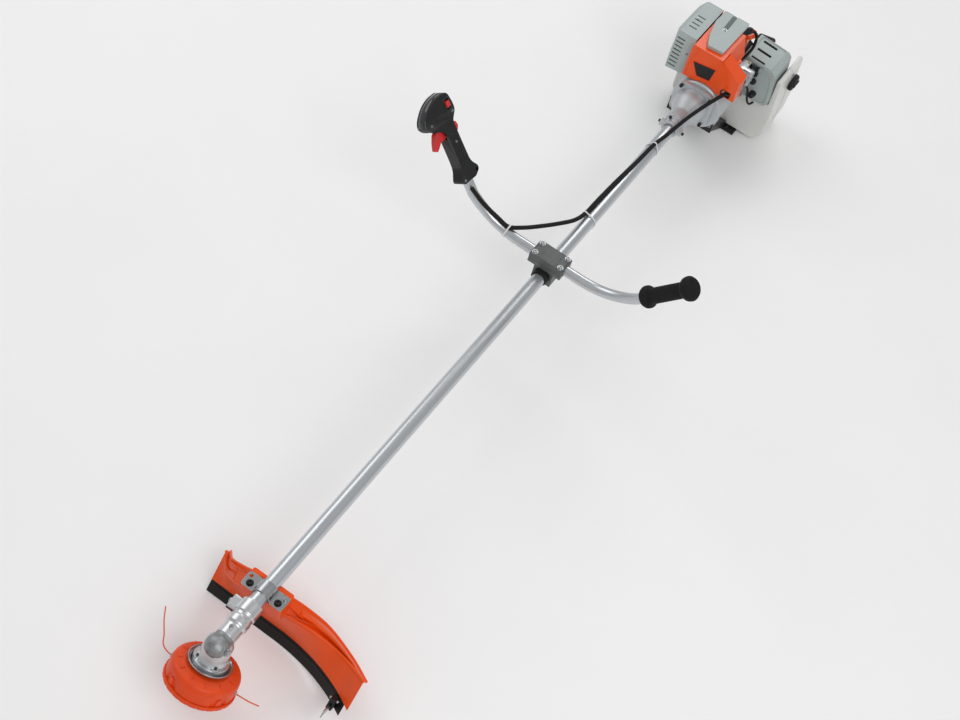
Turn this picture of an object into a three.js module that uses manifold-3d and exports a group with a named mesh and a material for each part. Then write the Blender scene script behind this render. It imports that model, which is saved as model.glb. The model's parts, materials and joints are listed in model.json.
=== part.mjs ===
// Petrol string trimmer with bicycle handlebar: engine at the rear, straight drive tube,
// angled gearbox, line head and guard at the front. Millimetres, +Z up, +Y towards the head,
// +X to the operator's right. The origin is the middle of the support foot's underside.
// Every piece is drawn in shaft space, whose Y axis is the drive tube's axis and whose
// origin is where the handlebar crosses the tube; one group lifts it onto the ground.
import * as THREE from 'three';
import { mergeVertices } from 'three/addons/utils/BufferGeometryUtils.js';
import Module from 'manifold-3d';

const wasm = await Module();
wasm.setup();

// ---------- driving dimensions ----------
const AXIS_HEIGHT = 156; // tube axis above the ground
const FOOT_Y = -781; // middle of the support foot along the tube
const GAP = 0.35; // between pieces that touch
const TUBE_RADIUS = 14;
const TUBE_BORE = 12.5;
const TUBE_REAR = -545;
const TUBE_FRONT = 955;
const HEAD_Y = 989; // where the spindle axis crosses the tube axis
const SPINDLE_ANGLE = THREE.MathUtils.degToRad(56); // between spindle and tube
const BAR_RADIUS = 11;
const BAR_HEIGHT = 31; // handlebar axis above the tube axis
const ARM_BEND = [140, -5, 27];
const ARM_BASE = [206.5, 6, 104.5]; // where each grip begins
const ARM_RISE = [60.2, 0, 79.9]; // direction of the grips
const CABLE_RADIUS = 4;
const HEAD_RADIUS = 60;
const LINE_RADIUS = 1.2;
const LINE_LEVEL = -68; // line exits, along the spindle
const SKIRT_LOWER = -66;
const GUARD_LOWER = -40;
const FLANGE_Y = -620; // clutch housing meets the engine
const CYLINDER_Y = -732;
const FILLER_Y = -847;
const PRIMER_RADIUS = 8;
const PRIMER_AT = [-89, 0, -10];
const GROUND = -AXIS_HEIGHT;
const FAN_RADIUS = 60;
const FAN_CENTRE = [-6, -3]; // x and z of the fan housing

// ---------- solids ----------
function welded(geometry) {
  const bare = geometry.clone();
  bare.deleteAttribute('normal');
  bare.deleteAttribute('uv');
  const merged = mergeVertices(bare, 1e-4);
  const position = merged.attributes.position;
  const corners = [];
  let volume = 0;
  const [a, b, c] = [0, 1, 2].map(() => new THREE.Vector3());
  for (let i = 0; i < merged.index.count; i += 3) {
    const face = [0, 1, 2].map((k) => merged.index.getX(i + k));
    if (new Set(face).size < 3) continue;
    [a, b, c].forEach((point, k) => point.fromBufferAttribute(position, face[k]));
    volume += a.dot(b.clone().cross(c));
    corners.push(...face);
  }
  if (volume < 0) corners.reverse();
  merged.setIndex(corners);
  return merged;
}

function solid(geometry) {
  const merged = welded(geometry);
  return new wasm.Manifold(new wasm.Mesh({
    numProp: 3,
    vertProperties: new Float32Array(merged.attributes.position.array),
    triVerts: new Uint32Array(merged.index.array),
  }));
}

function surface(body) {
  const mesh = body.getMesh();
  const geometry = new THREE.BufferGeometry();
  geometry.setAttribute('position', new THREE.BufferAttribute(mesh.vertProperties, 3));
  geometry.setIndex(new THREE.BufferAttribute(mesh.triVerts, 1));
  return geometry;
}

const join = (...pieces) => surface(pieces.map(solid).reduce((sum, piece) => sum.add(piece)));

const cut = (body, ...tools) => surface(tools.map(solid).reduce(
  (rest, tool) => rest.subtract(tool), solid(body)));

function box(low, high) {
  const size = high.map((value, k) => value - low[k]);
  const centre = high.map((value, k) => (value + low[k]) / 2);
  return new THREE.BoxGeometry(...size).translate(...centre);
}

// Revolves a closed outline of [radius, distance] pairs about the named axis.
function turned(outline, axis = 'Y', segments = 20) {
  const points = outline.map(([radius, along]) => new THREE.Vector2(radius, along));
  const onAxis = outline[0][0] === 0 && outline.at(-1)[0] === 0;
  if (!onAxis) points.push(points[0].clone());
  const geometry = new THREE.LatheGeometry(points, segments);
  if (axis === 'Z') geometry.rotateX(Math.PI / 2);
  if (axis === 'X') geometry.rotateZ(-Math.PI / 2);
  return geometry;
}

function rod(radius, from, to, axis = 'Y', segments = 16) {
  return turned([[0, from], [radius, from], [radius, to], [0, to]], axis, segments);
}

function ring(outer, inner, from, to, axis = 'Y', segments = 20) {
  return turned([[inner, from], [outer, from], [outer, to], [inner, to]], axis, segments);
}

function polygon(points) {
  return new THREE.Shape(points.map(([x, y]) => new THREE.Vector2(x, y)));
}

// Extrudes an outline of [x, z] pairs from one y to another.
function slab(points, fromY, toY) {
  const depth = toY - fromY;
  const geometry = new THREE.ExtrudeGeometry(polygon(points), { depth, bevelEnabled: false });
  return geometry.rotateX(Math.PI / 2).translate(0, toY, 0);
}

// Extrudes an outline of [x, y] pairs from one height to another.
function plate(points, low, high) {
  const geometry = new THREE.ExtrudeGeometry(polygon(points), {
    depth: high - low, bevelEnabled: false });
  return geometry.translate(0, 0, low);
}

// Extrudes an outline of [y, z] pairs from one x to another.
function side(points, fromX, toX) {
  const geometry = new THREE.ExtrudeGeometry(polygon(points), {
    depth: toX - fromX, bevelEnabled: false });
  return geometry.rotateX(Math.PI / 2).rotateZ(Math.PI / 2).translate(fromX, 0, 0);
}

function roundSection(radius, sides) {
  return new THREE.Shape(Array.from({ length: sides }, (_, k) => {
    const angle = (k / sides) * 2 * Math.PI;
    return new THREE.Vector2(radius * Math.cos(angle), radius * Math.sin(angle));
  }));
}

function swept(curve, radius, steps, sides = 10, bore = 0) {
  const section = roundSection(radius, sides);
  if (bore > 0) section.holes.push(roundSection(bore, sides));
  return new THREE.ExtrudeGeometry(section, { steps, extrudePath: curve, bevelEnabled: false });
}

const smooth = (points) => new THREE.CatmullRomCurve3(
  points.map((point) => new THREE.Vector3(...point)), false, 'centripetal');

// ---------- places ----------
const SPINDLE_TURN = Math.PI / 2 - SPINDLE_ANGLE;

// Moves geometry drawn about the Z axis onto the spindle axis.
function onSpindle(geometry) {
  return geometry.rotateX(SPINDLE_TURN).translate(0, HEAD_Y, 0);
}

function headPoint(x, behind, up) {
  return new THREE.Vector3(x, -behind, up)
    .applyAxisAngle(new THREE.Vector3(1, 0, 0), SPINDLE_TURN)
    .add(new THREE.Vector3(0, HEAD_Y, 0));
}

// Local frame of one handlebar arm: z along the grip, y to the front.
function armFrame(side) {
  const rise = new THREE.Vector3(side * ARM_RISE[0], ARM_RISE[1], ARM_RISE[2]).normalize();
  const front = new THREE.Vector3(0, 1, 0).addScaledVector(rise, -rise.y).normalize();
  const across = new THREE.Vector3().crossVectors(front, rise);
  const matrix = new THREE.Matrix4().makeBasis(across, front, rise);
  return matrix.setPosition(side * ARM_BASE[0], ARM_BASE[1], ARM_BASE[2]);
}

// ---------- materials ----------
const finish = (color, roughness, metalness) => (
  new THREE.MeshStandardMaterial({ color, roughness, metalness }));

const MATERIALS = {
  tube: finish(0xc9cdd0, 0.35, 0.9),
  steel: finish(0xb4b6b8, 0.35, 1),
  cast: finish(0xb9bcbf, 0.5, 0.9),
  darkCast: finish(0x5b5d5c, 0.6, 0.6),
  orange: finish(0xe8420f, 0.35, 0),
  headOrange: finish(0xd83a1c, 0.45, 0),
  grey: finish(0xb5bfc0, 0.5, 0),
  black: finish(0x141416, 0.6, 0),
  rubber: finish(0x101012, 0.85, 0),
  red: finish(0xd8262a, 0.45, 0),
  tank: finish(0xe6e5e0, 0.4, 0),
  nylon: finish(0xd9543a, 0.4, 0),
  foam: finish(0x3b3b38, 0.95, 0),
};

const machine = new THREE.Group();
machine.position.set(0, -FOOT_Y, AXIS_HEIGHT);

function add(name, material, geometry) {
  const mesh = new THREE.Mesh(welded(geometry), MATERIALS[material]);
  mesh.name = name;
  machine.add(mesh);
}

// ---------- drive tube and shaft ----------
function addDriveLine() {
  add('drive_tube', 'tube', ring(TUBE_RADIUS, TUBE_BORE, TUBE_REAR, TUBE_FRONT));
  const shaftRadius = 4;
  const pinionBack = HEAD_Y - 16;
  add('drive_shaft', 'steel', turned([
    [0, -598], [31, -598], [31, -617], [33, -617], [33, -594], [9, -594], [9, -582],
    [shaftRadius, -582], [shaftRadius, pinionBack], [7, pinionBack], [9.6, HEAD_Y - 10.4],
    [8.2, HEAD_Y - 9], [0, HEAD_Y - 9]]));
  const bushes = { bush_rear: -400, bush_front: 500 };
  Object.entries(bushes).forEach(([name, y]) => {
    add(name, 'black', ring(TUBE_BORE - GAP, shaftRadius + GAP, y, y + 24, 'Y', 16));
  });
  add('pinion_bearing', 'steel', ring(11.8, shaftRadius + GAP, 958, 967, 'Y', 20));
}

// ---------- gearbox ----------
function addGearbox() {
  const casting = join(
    rod(20, 905, HEAD_Y),
    new THREE.SphereGeometry(20.5, 20, 14).translate(0, HEAD_Y + 7, 4),
    box([14, 914, -7], [33, 936, 7]),
    onSpindle(turned([[0, -34], [25, -34], [25, 0], [20, 6], [0, 6]], 'Z')),
    onSpindle(rod(31, -40, -32, 'Z')));
  add('gearbox_housing', 'cast', cut(casting,
    rod(TUBE_RADIUS + GAP, 900, TUBE_FRONT + 1),
    rod(12.2, TUBE_FRONT, HEAD_Y - 5),
    box([0, 900, -1.5], [40, 940, 1.5]),
    onSpindle(rod(17.5, -12, 0, 'Z')),
    onSpindle(rod(13.4, -41, -11, 'Z'))));
  add('spindle', 'steel', onSpindle(turned([
    [0, -1.5], [5, -1.9], [14, -3.6], [14.4, -6], [11, -10.4], [6, -10.4], [6, -60],
    [5, -60], [5, -84], [0, -84]], 'Z')));
  add('bearing_upper', 'steel', onSpindle(ring(13, 6 + GAP, -20, -12, 'Z', 20)));
  add('bearing_lower', 'steel', onSpindle(ring(13, 6 + GAP, -34, -26, 'Z', 20)));
}

// ---------- line head ----------
function addHead() {
  add('thrust_cup', 'steel', onSpindle(turned([
    [6.35, -42], [30, -42], [36.6, -37], [38.6, -37], [38.6, -39.5], [32, -45.6],
    [6.35, -45.6]], 'Z', 24)));
  const shell = onSpindle(turned([
    [6.35, -46], [40, -46], [55, -48.5], [58.5, -53], [HEAD_RADIUS, -60], [HEAD_RADIUS, -80],
    [57, -80], [57, -61], [56, -55], [53, -51.6], [40, -49.5], [12, -49.5],
    [12, -66], [6.35, -66]], 'Z', 28));
  const eyelets = onSpindle(rod(3.4, -70, 70, 'X', 12)
    .rotateZ(0.15).translate(0, 0, LINE_LEVEL));
  const eyeletOnly = cut(eyelets, onSpindle(rod(50, -90, -40, 'Z')));
  add('head_cover', 'headOrange', cut(shell, eyeletOnly));
  add('head_base', 'headOrange', onSpindle(turned([
    [55.5, -80.4], [62.5, -80.4], [62.5, -87], [56, -93], [31, -95.5], [31, -92], [51, -89.4],
    [55.5, -85.5]], 'Z', 28)));
  add('spool', 'black', onSpindle(turned([
    [17, -55], [52, -55], [52, -57.5], [20, -57.5], [20, -84], [52, -84], [52, -86.5],
    [17, -86.5]], 'Z', 24)));
  add('line_winding', 'nylon', onSpindle(ring(46, 20 + GAP, -83.6, -57.9, 'Z', 20)));
  add('bump_knob', 'black', onSpindle(turned([
    [0, -110], [14, -110], [24, -107], [28, -100], [28, -91.4], [33, -91.2], [33, -88.6],
    [0, -88.6]], 'Z', 24)));
  const steps = 32;
  const turn = Math.PI / 4;
  const coil = Array.from({ length: steps + 1 }, (_, k) => (
    [14.4 * Math.cos(k * turn), 14.4 * Math.sin(k * turn), -87.4 + (k / steps) * 20]));
  add('feed_spring', 'steel', onSpindle(swept(smooth(coil), 0.8, steps, 5)));
}

// The two free line ends leave opposite eyelets.
function addLines() {
  const routes = {
    line_a: [[55, -8, -68], [66, -9.5, -68], [82, -2, -68], [97, 20, -68], [119, 50, -68],
      [136, 78, -68]],
    line_b: [[-55, 8, -68], [-66, 10, -68], [-84, 13, -68], [-101, 19, -68]],
  };
  Object.entries(routes).forEach(([name, points]) => {
    const route = points.map(([x, behind, up]) => headPoint(x, behind, up).toArray());
    add(name, 'nylon', swept(smooth(route), LINE_RADIUS, 12, 8));
  });
}

// ---------- guard ----------
const GUARD_RIGHT = 118;
const GUARD_LEFT = -214;
const SKIRT_END = -204;
const GUARD_FACE = 176; // behind the spindle
const GUARD_ARC = 280;
const GUARD_ARC_START = -30;

// Plan line of the guard's inner face: straight on the right, an arc on the left.
function guardBehind(x) {
  const run = Math.min(0, x - GUARD_ARC_START);
  return GUARD_FACE - GUARD_ARC + Math.sqrt(GUARD_ARC ** 2 - run ** 2);
}

function guardFoot(x, up) {
  return headPoint(x, guardBehind(x), up);
}

// Upper edges of the guard as [x, behind, up] on the spindle frame, right to left.
const GUARD_CREST = [[GUARD_RIGHT, 176, 24], [96, 160, 4], [60, 122, 22], [30, 104, 39],
  [-20, 104, 39], [-88, 136, 24], [-140, 150, 12], [-176, 134, 17], [GUARD_LEFT, 106, 26]];
const GUARD_REAR = [[GUARD_RIGHT, 200, 12], [92, 150, 36], [60, 128, 54], [30, 112, 70],
  [-20, 112, 70], [-64, 146, 48], [-106, 182, 18], [-170, 162, 10], [GUARD_LEFT, 132, 10]];

function alongX(points) {
  const curve = new THREE.CatmullRomCurve3(
    points.map((point) => headPoint(...point)), false, 'centripetal');
  return (t) => curve.getPoint(t);
}

// Bends a flat plate between two edge curves; thickness is laid off along `outward`.
function ruled(lower, upper, thickness, outward, columns) {
  const plate = new THREE.BoxGeometry(1, 1, 1, columns, 1, 1);
  const position = plate.attributes.position;
  const point = new THREE.Vector3();
  for (let i = 0; i < position.count; i += 1) {
    const t = position.getX(i) + 0.5;
    const rise = position.getY(i) + 0.5;
    point.lerpVectors(lower(t), upper(t), rise);
    point.addScaledVector(outward, (position.getZ(i) + 0.5) * thickness);
    position.setXYZ(i, point.x, point.y, point.z);
  }
  return plate;
}

function addGuard() {
  const crest = alongX(GUARD_CREST);
  const rear = alongX(GUARD_REAR);
  const acrossX = (t, up) => guardFoot(THREE.MathUtils.lerp(GUARD_RIGHT, GUARD_LEFT, t), up);
  const outward = new THREE.Vector3(0, -1, 0);
  const face = ruled((t) => acrossX(t, GUARD_LOWER), crest, 3.5, outward, 24);
  const roof = ruled(crest, rear, 3.5, new THREE.Vector3(0, -0.55, -0.83), 24);
  const pad = box([-42, 850, -34], [42, 888, -3.4]);
  const groove = rod(TUBE_RADIUS + GAP, 840, 900);
  add('guard', 'orange', cut(join(face, roof, pad), groove));
  const along = (t, up) => guardFoot(THREE.MathUtils.lerp(GUARD_RIGHT, SKIRT_END, t), up);
  const skirt = ruled((t) => along(t, SKIRT_LOWER), (t) => along(t, GUARD_LOWER - GAP), 3,
    outward, 22);
  const holder = onSpindle(box([-189, -131, -66], [-179, -114, -44]));
  const bladeSlot = onSpindle(box([-185.35, -128.35, -72], [-182.65, -110, -52]));
  add('guard_skirt', 'rubber', join(skirt, cut(holder, bladeSlot)));
  add('line_cutter_blade', 'steel', onSpindle(box([-185, -128, -70], [-183, -90, -54])));
  const saddle = cut(
    join(rod(17, 860, 888), box([-36, 860, -3], [36, 888, 0])),
    rod(TUBE_RADIUS + GAP, 850, 900),
    box([-40, 850, -40], [40, 900, -3]));
  add('guard_bracket', 'steel', saddle);
}

// ---------- handlebar ----------
function armPoint(side, along) {
  const rise = new THREE.Vector3(...ARM_RISE).normalize();
  const point = new THREE.Vector3(...ARM_BASE).addScaledVector(rise, along);
  return new THREE.Vector3(side * point.x, point.y, point.z);
}

function barCurve() {
  const reach = 84; // bar inside each grip
  const start = [1, -1].map((side) => new THREE.Vector3(side * 74, 0, BAR_HEIGHT));
  const bend = [1, -1].map((side) => new THREE.Vector3(
    side * ARM_BEND[0], ARM_BEND[1], ARM_BEND[2]));
  const path = new THREE.CurvePath();
  path.add(new THREE.LineCurve3(armPoint(1, reach), armPoint(1, -25)));
  path.add(new THREE.QuadraticBezierCurve3(armPoint(1, -25), bend[0], start[0]));
  path.add(new THREE.LineCurve3(start[0], start[1]));
  path.add(new THREE.QuadraticBezierCurve3(start[1], bend[1], armPoint(-1, -25)));
  path.add(new THREE.LineCurve3(armPoint(-1, -25), armPoint(-1, reach)));
  return path;
}

function addHandlebar() {
  add('handlebar_tube', 'tube', swept(barCurve(), BAR_RADIUS, 32, 10, BAR_RADIUS - 1.5));
  const barGroove = () => rod(BAR_RADIUS + GAP, -50, 50, 'X').translate(0, 0, BAR_HEIGHT);
  const sleeveBore = rod(17 + GAP, -40, 40);
  add('handlebar_clamp_lower', 'darkCast', cut(
    join(box([-38, -20, 19], [38, 20, BAR_HEIGHT - GAP]), box([-22, -17, -21], [22, 17, 20])),
    sleeveBore, barGroove()));
  add('handlebar_clamp_upper', 'darkCast', cut(
    slab([[-38, BAR_HEIGHT + GAP], [38, BAR_HEIGHT + GAP], [38, 43], [33, 47], [-33, 47],
      [-38, 43]], -20, 20),
    barGroove()));
  add('rubber_sleeve', 'rubber', ring(17, TUBE_RADIUS + GAP, -26, 30, 'Y', 24));
  const leftGrip = turned([
    [BAR_RADIUS + GAP, -4], [19, -4], [22, 1], [22, 8], [16, 14], [15.5, 94], [19, 99],
    [23, 103], [24, 111], [19, 118], [0, 118], [0, 86], [BAR_RADIUS + GAP, 86]], 'Z', 18);
  add('left_grip', 'rubber', leftGrip.applyMatrix4(armFrame(-1)));
}

// ---------- throttle handle ----------
const HANDLE_HALF = 12.8;
const HANDLE_OUTLINE = [[4, 9.5], [20, 10], [25, 14], [24, 20], [14.5, 36], [12.8, 44],
  [12.8, 112], [16, 124], [28, 133], [46, 141], [56, 155], [50, 168], [30, 183.5], [5, 191],
  [-21, 189], [-27.5, 183], [-31, 165], [-31, 149], [-24, 141], [-15, 133], [-15, 100],
  [-16, 42], [-30, 22], [-28, 14], [-14, 7]];

// A plate of the handle: outline of [front, up] pairs, thick across the arm.
function handlePlate(points, halfWidth) {
  return side(points, -halfWidth, halfWidth);
}

function addThrottleHandle() {
  const frame = armFrame(1);
  const grip = handlePlate(HANDLE_OUTLINE, HANDLE_HALF);
  const triggerSlot = handlePlate([[2, 106], [2, 140], [18, 146], [60, 146], [60, 92],
    [13, 92], [13, 106]], 6);
  const lockSlot = handlePlate([[-60, 99], [-3.5, 99], [-3.5, 131], [-60, 136]], 4.5);
  const lug = rod(3.5, -20, 20, 'X', 12).translate(0, -23, 18);
  const switchPocket = box([-HANDLE_HALF - 3, -23.5, 155.5], [-HANDLE_HALF + 3, -10.5, 177.7]);
  const bore = rod(BAR_RADIUS + GAP, -20, 86, 'Z');
  add('throttle_grip', 'black',
    cut(grip, bore, triggerSlot, lockSlot, lug, switchPocket).applyMatrix4(frame));
  const trigger = handlePlate([[8, 118], [10, 132], [24, 136], [36, 130], [44, 118],
    [50, 104], [46, 100], [38, 104], [30, 110], [14, 110]], 5.4);
  add('throttle_trigger', 'red', trigger.applyMatrix4(frame));
  const lockout = handlePlate([[-8, 103], [-8, 126], [-18, 128], [-29, 122], [-31, 112],
    [-26, 105], [-18, 102.5]], 4);
  add('trigger_lockout', 'red', lockout.applyMatrix4(frame));
  const button = box([-HANDLE_HALF - 3, -22, 160.6], [-HANDLE_HALF + 2.6, -12, 172.6]);
  add('stop_switch', 'red', button.applyMatrix4(frame));
}

// Throttle cable conduit: handle, handlebar, a free loop, the drive tube, carburettor.
function addThrottleCable() {
  const route = [[193, 15.5, 107.5], [165, 8, 78.5], [131, 1.5, 58], [104, -1, 48.5],
    [82, -22, 44], [59, -52, 40], [34, -92, 33], [18, -131, 22], [13, -166, 14.5],
    [11.5, -210, 15.2], [8, -280, 17], [2, -360, 18.9], [-2, -430, 19.4], [-9, -470, 21],
    [-15, -505, 25.5], [-24, -540, 36], [-43, -588, 56], [-57, -625, 63], [-70, -660, 63],
    [-72, -684, 67], [-71, -700, 70]];
  add('throttle_cable', 'rubber', swept(smooth(route), CABLE_RADIUS, 52, 8));
}

// ---------- clutch and lower engine ----------
function addClutch() {
  const square = (half, corner) => {
    const shape = [];
    [[1, 1], [-1, 1], [-1, -1], [1, -1]].forEach(([sx, sz]) => {
      const first = sx * sz > 0 ? [half, half - corner] : [half - corner, half];
      const last = [first[1], first[0]];
      const middle = half - corner * 0.3;
      shape.push([sx * first[0], sz * first[1]], [sx * middle, sz * middle],
        [sx * last[0], sz * last[1]]);
    });
    return shape;
  };
  const bell = turned([[0, -508.5], [19.5, -508.5], [19.5, -531], [23, -533], [24, -562],
    [30, -576], [38, -592], [40, -606], [41, FLANGE_Y], [0, FLANGE_Y]]);
  const flange = slab(square(48, 14), FLANGE_Y, FLANGE_Y + 8);
  add('clutch_housing', 'cast', cut(join(bell, flange),
    rod(TUBE_RADIUS + GAP, TUBE_REAR - 1, -500),
    rod(10, -592, TUBE_REAR),
    rod(35, FLANGE_Y - 1, -591)));
  const shoe = (side) => {
    const half = box([side > 0 ? 4 : -40, -616, -40], [side > 0 ? 40 : -4, -600, 40]);
    const disc = ring(30, 13, -616, -600);
    return surface(solid(disc).intersect(solid(half)));
  };
  add('clutch_shoe_right', 'cast', shoe(1));
  add('clutch_shoe_left', 'cast', shoe(-1));
}

function fanDisc(radius, from, to) {
  return rod(radius, from, to, 'Y', 24).translate(FAN_CENTRE[0], 0, FAN_CENTRE[1]);
}

function addCrankTrain() {
  const vanes = Array.from({ length: 8 }, (_, k) => (
    box([22, -672, -1.5], [45, -634, 1.5]).rotateY((k * Math.PI) / 4)));
  add('flywheel', 'cast', join(ring(46, 8 + GAP, -684, -670), ...vanes));
  add('crankshaft', 'steel', join(
    turned([[0, -598.5], [12.6, -598.5], [12.6, -617], [8, -617], [8, -719], [28, -719],
      [28, -727], [0, -727]]),
    rod(6, -735, -723).translate(0, 0, -14),
    turned([[0, -731], [28, -731], [28, -739], [8, -739], [8, -789], [0, -789]])));
  add('crankcase', 'cast', cut(
    join(fanDisc(58, -699, -691), box([-44, -766, -52], [44, -698, 36])),
    rod(8 + GAP, -770, -680),
    rod(34, -752, -706),
    rod(20.4, 0, 50, 'Z').translate(0, CYLINDER_Y, 0)));
  add('fan_housing', 'cast', cut(fanDisc(FAN_RADIUS, -690.6, FLANGE_Y - GAP),
    fanDisc(FAN_RADIUS - 5, -700, FLANGE_Y - 6), rod(13, -640, -600)));
}

function addCylinder() {
  const fins = [];
  for (let z = 48; z < 104; z += 12) {
    fins.push([26, z], [31.5, z], [31.5, z + 3], [26, z + 3]);
  }
  const body = turned([[0, 36.4], [26, 36.4], ...fins, [26, 116], [0, 116]], 'Z', 16)
    .translate(0, CYLINDER_Y, 0);
  const bore = rod(20, 30, 102, 'Z').translate(0, CYLINDER_Y, 0);
  const inlet = rod(8, -60, -10, 'X', 14).translate(0, CYLINDER_Y, 52);
  const outlet = rod(9, 10, 60, 'X', 14).translate(0, CYLINDER_Y, 64);
  const plugHole = rod(5, 95, 130, 'Z', 12).translate(0, CYLINDER_Y - 8, 0);
  add('cylinder', 'cast', cut(body, bore, inlet, outlet, plugHole));
  add('piston', 'cast', rod(19.6, 66, 88, 'Z').translate(0, CYLINDER_Y, 0));
  const boot = join(
    turned([[0, 116.4], [7.5, 116.4], [8.5, 132], [0, 132]], 'Z', 14)
      .translate(0, CYLINDER_Y - 8, 0),
    rod(8.5, -46, 0, 'Y', 12).rotateZ(-0.55).translate(0, CYLINDER_Y - 8, 125.4));
  add('spark_plug_boot', 'black', boot);
}

// ---------- engine covers ----------
function addShroud() {
  const outer = join(
    slab([[-53, 50], [-47, 66], [-24, 138], [48, 138], [50, 132], [50, 50]], -772, -627),
    slab([[-80, 52], [-77, 104], [-26, 137], [-20, 52]], -664, -627));
  const portHole = rod(16, 40, 80, 'X').translate(0, CYLINDER_Y, 64);
  const wheelSpace = fanDisc(FAN_RADIUS + 1.5, -700, FLANGE_Y);
  const carbSpace = box([-80, -810, -10], [-30, -700, 90]);
  const bootSpace = box([-70, -810, 60], [-9, -735, 145]);
  const hollow = slab([[-54, 40], [-44, 65], [-22, 134.5], [46.5, 134.5], [46.5, 40]],
    -810, -631);
  const lobeRoom = slab([[-77, 55.5], [-74, 102], [-26, 133], [-20, 55.5]], -670, -630.5);
  const cableSlot = box([-68, -640, 55], [-48, -620, 71]);
  add('cylinder_shroud', 'orange',
    cut(outer, hollow, lobeRoom, cableSlot, portHole, wheelSpace, carbSpace, bootSpace));
  add('top_cover', 'grey', plate([[24, -638], [-14, -642], [-16, -766], [44, -764],
    [47, -720], [36, -670]], 138.4, 146));
  const muffler = join(
    box([58, -748, 50], [93, -652, 128]),
    rod(12, 39, 60, 'X').translate(0, CYLINDER_Y, 64));
  add('muffler', 'steel', cut(muffler,
    rod(8, 30, 57, 'X').translate(0, CYLINDER_Y, 64),
    box([70, -700, 100], [84, -640, 114])));
  const crossed = (profile, plan) => surface(
    solid(slab(profile, -800, -600)).intersect(solid(plate(plan, 0, 200))));
  const guardShell = crossed(
    [[50.4, 40], [60, 36], [95, 32], [104, 55], [107, 80], [106, 118], [101, 132],
      [92, 141], [50.4, 141]],
    [[50.4, -640], [96, -640], [103, -660], [107, -690], [106, -725], [100, -752],
      [88, -768], [50.4, -768]]);
  const guardRoom = crossed(
    [[48, 43.2], [60, 39.2], [93, 35.4], [100.8, 56], [104, 80], [103, 117], [98.6, 130],
      [90.6, 138], [48, 138]],
    [[48, -643], [94.5, -643], [100.4, -661], [104, -690], [103, -724], [97.5, -750],
      [86.5, -765], [48, -765]]);
  const slots = [];
  for (let k = 0; k < 8; k += 1) {
    slots.push(box([74, -650, 42 + k * 11], [93, -630, 46 + k * 11]));
  }
  for (let k = 0; k < 4; k += 1) {
    slots.push(box([67, -670 - k * 14, 130], [86, -666 - k * 14, 150]));
  }
  for (let k = 0; k < 6; k += 1) {
    slots.push(box([98, -744, 62 + k * 11], [112, -666, 66 + k * 11]));
  }
  add('muffler_guard', 'grey', cut(guardShell, guardRoom, ...slots));
}

function addIntake() {
  add('carburettor', 'cast', cut(
    join(box([-58, -750, 38], [-36, -714, 70]),
      rod(13, -76, -42, 'X').translate(0, CYLINDER_Y, 52),
      box([-76, -745, 30], [-60, -719, 46])),
    rod(8, -80, -30, 'X', 16).translate(0, CYLINDER_Y, 52)));
  add('throttle_lever', 'steel', join(
    rod(5, 71, 74, 'Z', 14).translate(-52, -718, 0),
    box([-72, -721, 71], [-52, -715, 74])));
  const cover = slab([[-34, 73], [-110, 68], [-118, 60], [-128, -20], [-122, -28],
    [-64, -28], [-64, 60], [-36, 62]], -846, -758);
  const coverRoom = slab([[-66, 65], [-108, 64], [-114.5, 58], [-124, -20], [-120, -24],
    [-67, -24]], -842, -762);
  const mouth = box([-70, -800, 20], [-60, -775, 45]);
  const primerHole = rod(PRIMER_RADIUS + GAP, -763, -757, 'Y', 14).translate(...PRIMER_AT);
  const slots = [-831, -799, -767].map((y) => box([-84, y - 4, 60], [-48, y + 4, 80]));
  const slotFloor = slab([[-44, 62], [-90, 60], [-90, 67], [-44, 69]], -842, -760);
  add('air_filter_cover', 'grey',
    cut(cover, coverRoom, mouth, primerHole, ...slots.map((slot) => surface(
      solid(slot).subtract(solid(slotFloor))))));
  add('air_filter_element', 'foam', box([-108, -836, -18], [-72, -768, 48]));
  add('primer_bulb', 'rubber', turned([[0, -761.6], [PRIMER_RADIUS, -761.6],
    [PRIMER_RADIUS, -752], [6, -745], [0, -743]], 'Y', 14).translate(...PRIMER_AT));
  add('choke_lever', 'black', join(
    rod(6, -757.6, -750, 'Y', 14).translate(-76, 0, 44),
    box([-79, -755, 44], [-73, -750, 62])));
}

function addTankAndStarter() {
  const body = slab([[-128, -146], [-138, -136], [-146, -60], [-137, 38], [-132, 42],
    [-127, 42], [-125, 36], [-129, -34], [-66, -34], [-60, -58], [90, -58], [100, -68],
    [96, -136], [86, -146]], -890, -776);
  const room = slab([[-126, -142], [-134, -133], [-142, -60], [-133.5, 36], [-131.5, 38.5],
    [-129.5, 38.5], [-128.5, 35], [-132.5, -38], [-69, -38], [-63, -62], [88, -62], [96, -69],
    [92, -133], [84, -142]], -886, -780);
  const filler = (geometry) => geometry.translate(0, FILLER_Y, 0);
  add('fuel_tank', 'tank', cut(join(body, filler(rod(13, -147, -136, 'X'))), room,
    filler(rod(10, -150, -130, 'X'))));
  add('fuel_cap', 'black', filler(turned([[0, -143], [9.6, -143], [9.6, -147.4],
    [13.4, -147.4], [13.4, -142.7], [20, -142.7], [20, -151], [17, -154], [0, -154]], 'X')));
  add('starter_cover', 'black', cut(
    turned([[0, -850], [44, -850], [54, -838], [56, -768], [0, -768]]),
    rod(51, -835, -760)));
  add('starter_reel', 'grey', turned([[0, -828], [38, -828], [38, -824], [24, -824],
    [24, -808], [38, -808], [38, -804], [9, -804], [9, -795], [0, -795]]));
  const gripTilt = 0.25;
  add('starter_grip', 'black', new THREE.CapsuleGeometry(7, 28, 4, 12)
    .rotateZ(Math.PI / 2 + gripTilt).translate(-46, -860, 58));
}

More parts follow.
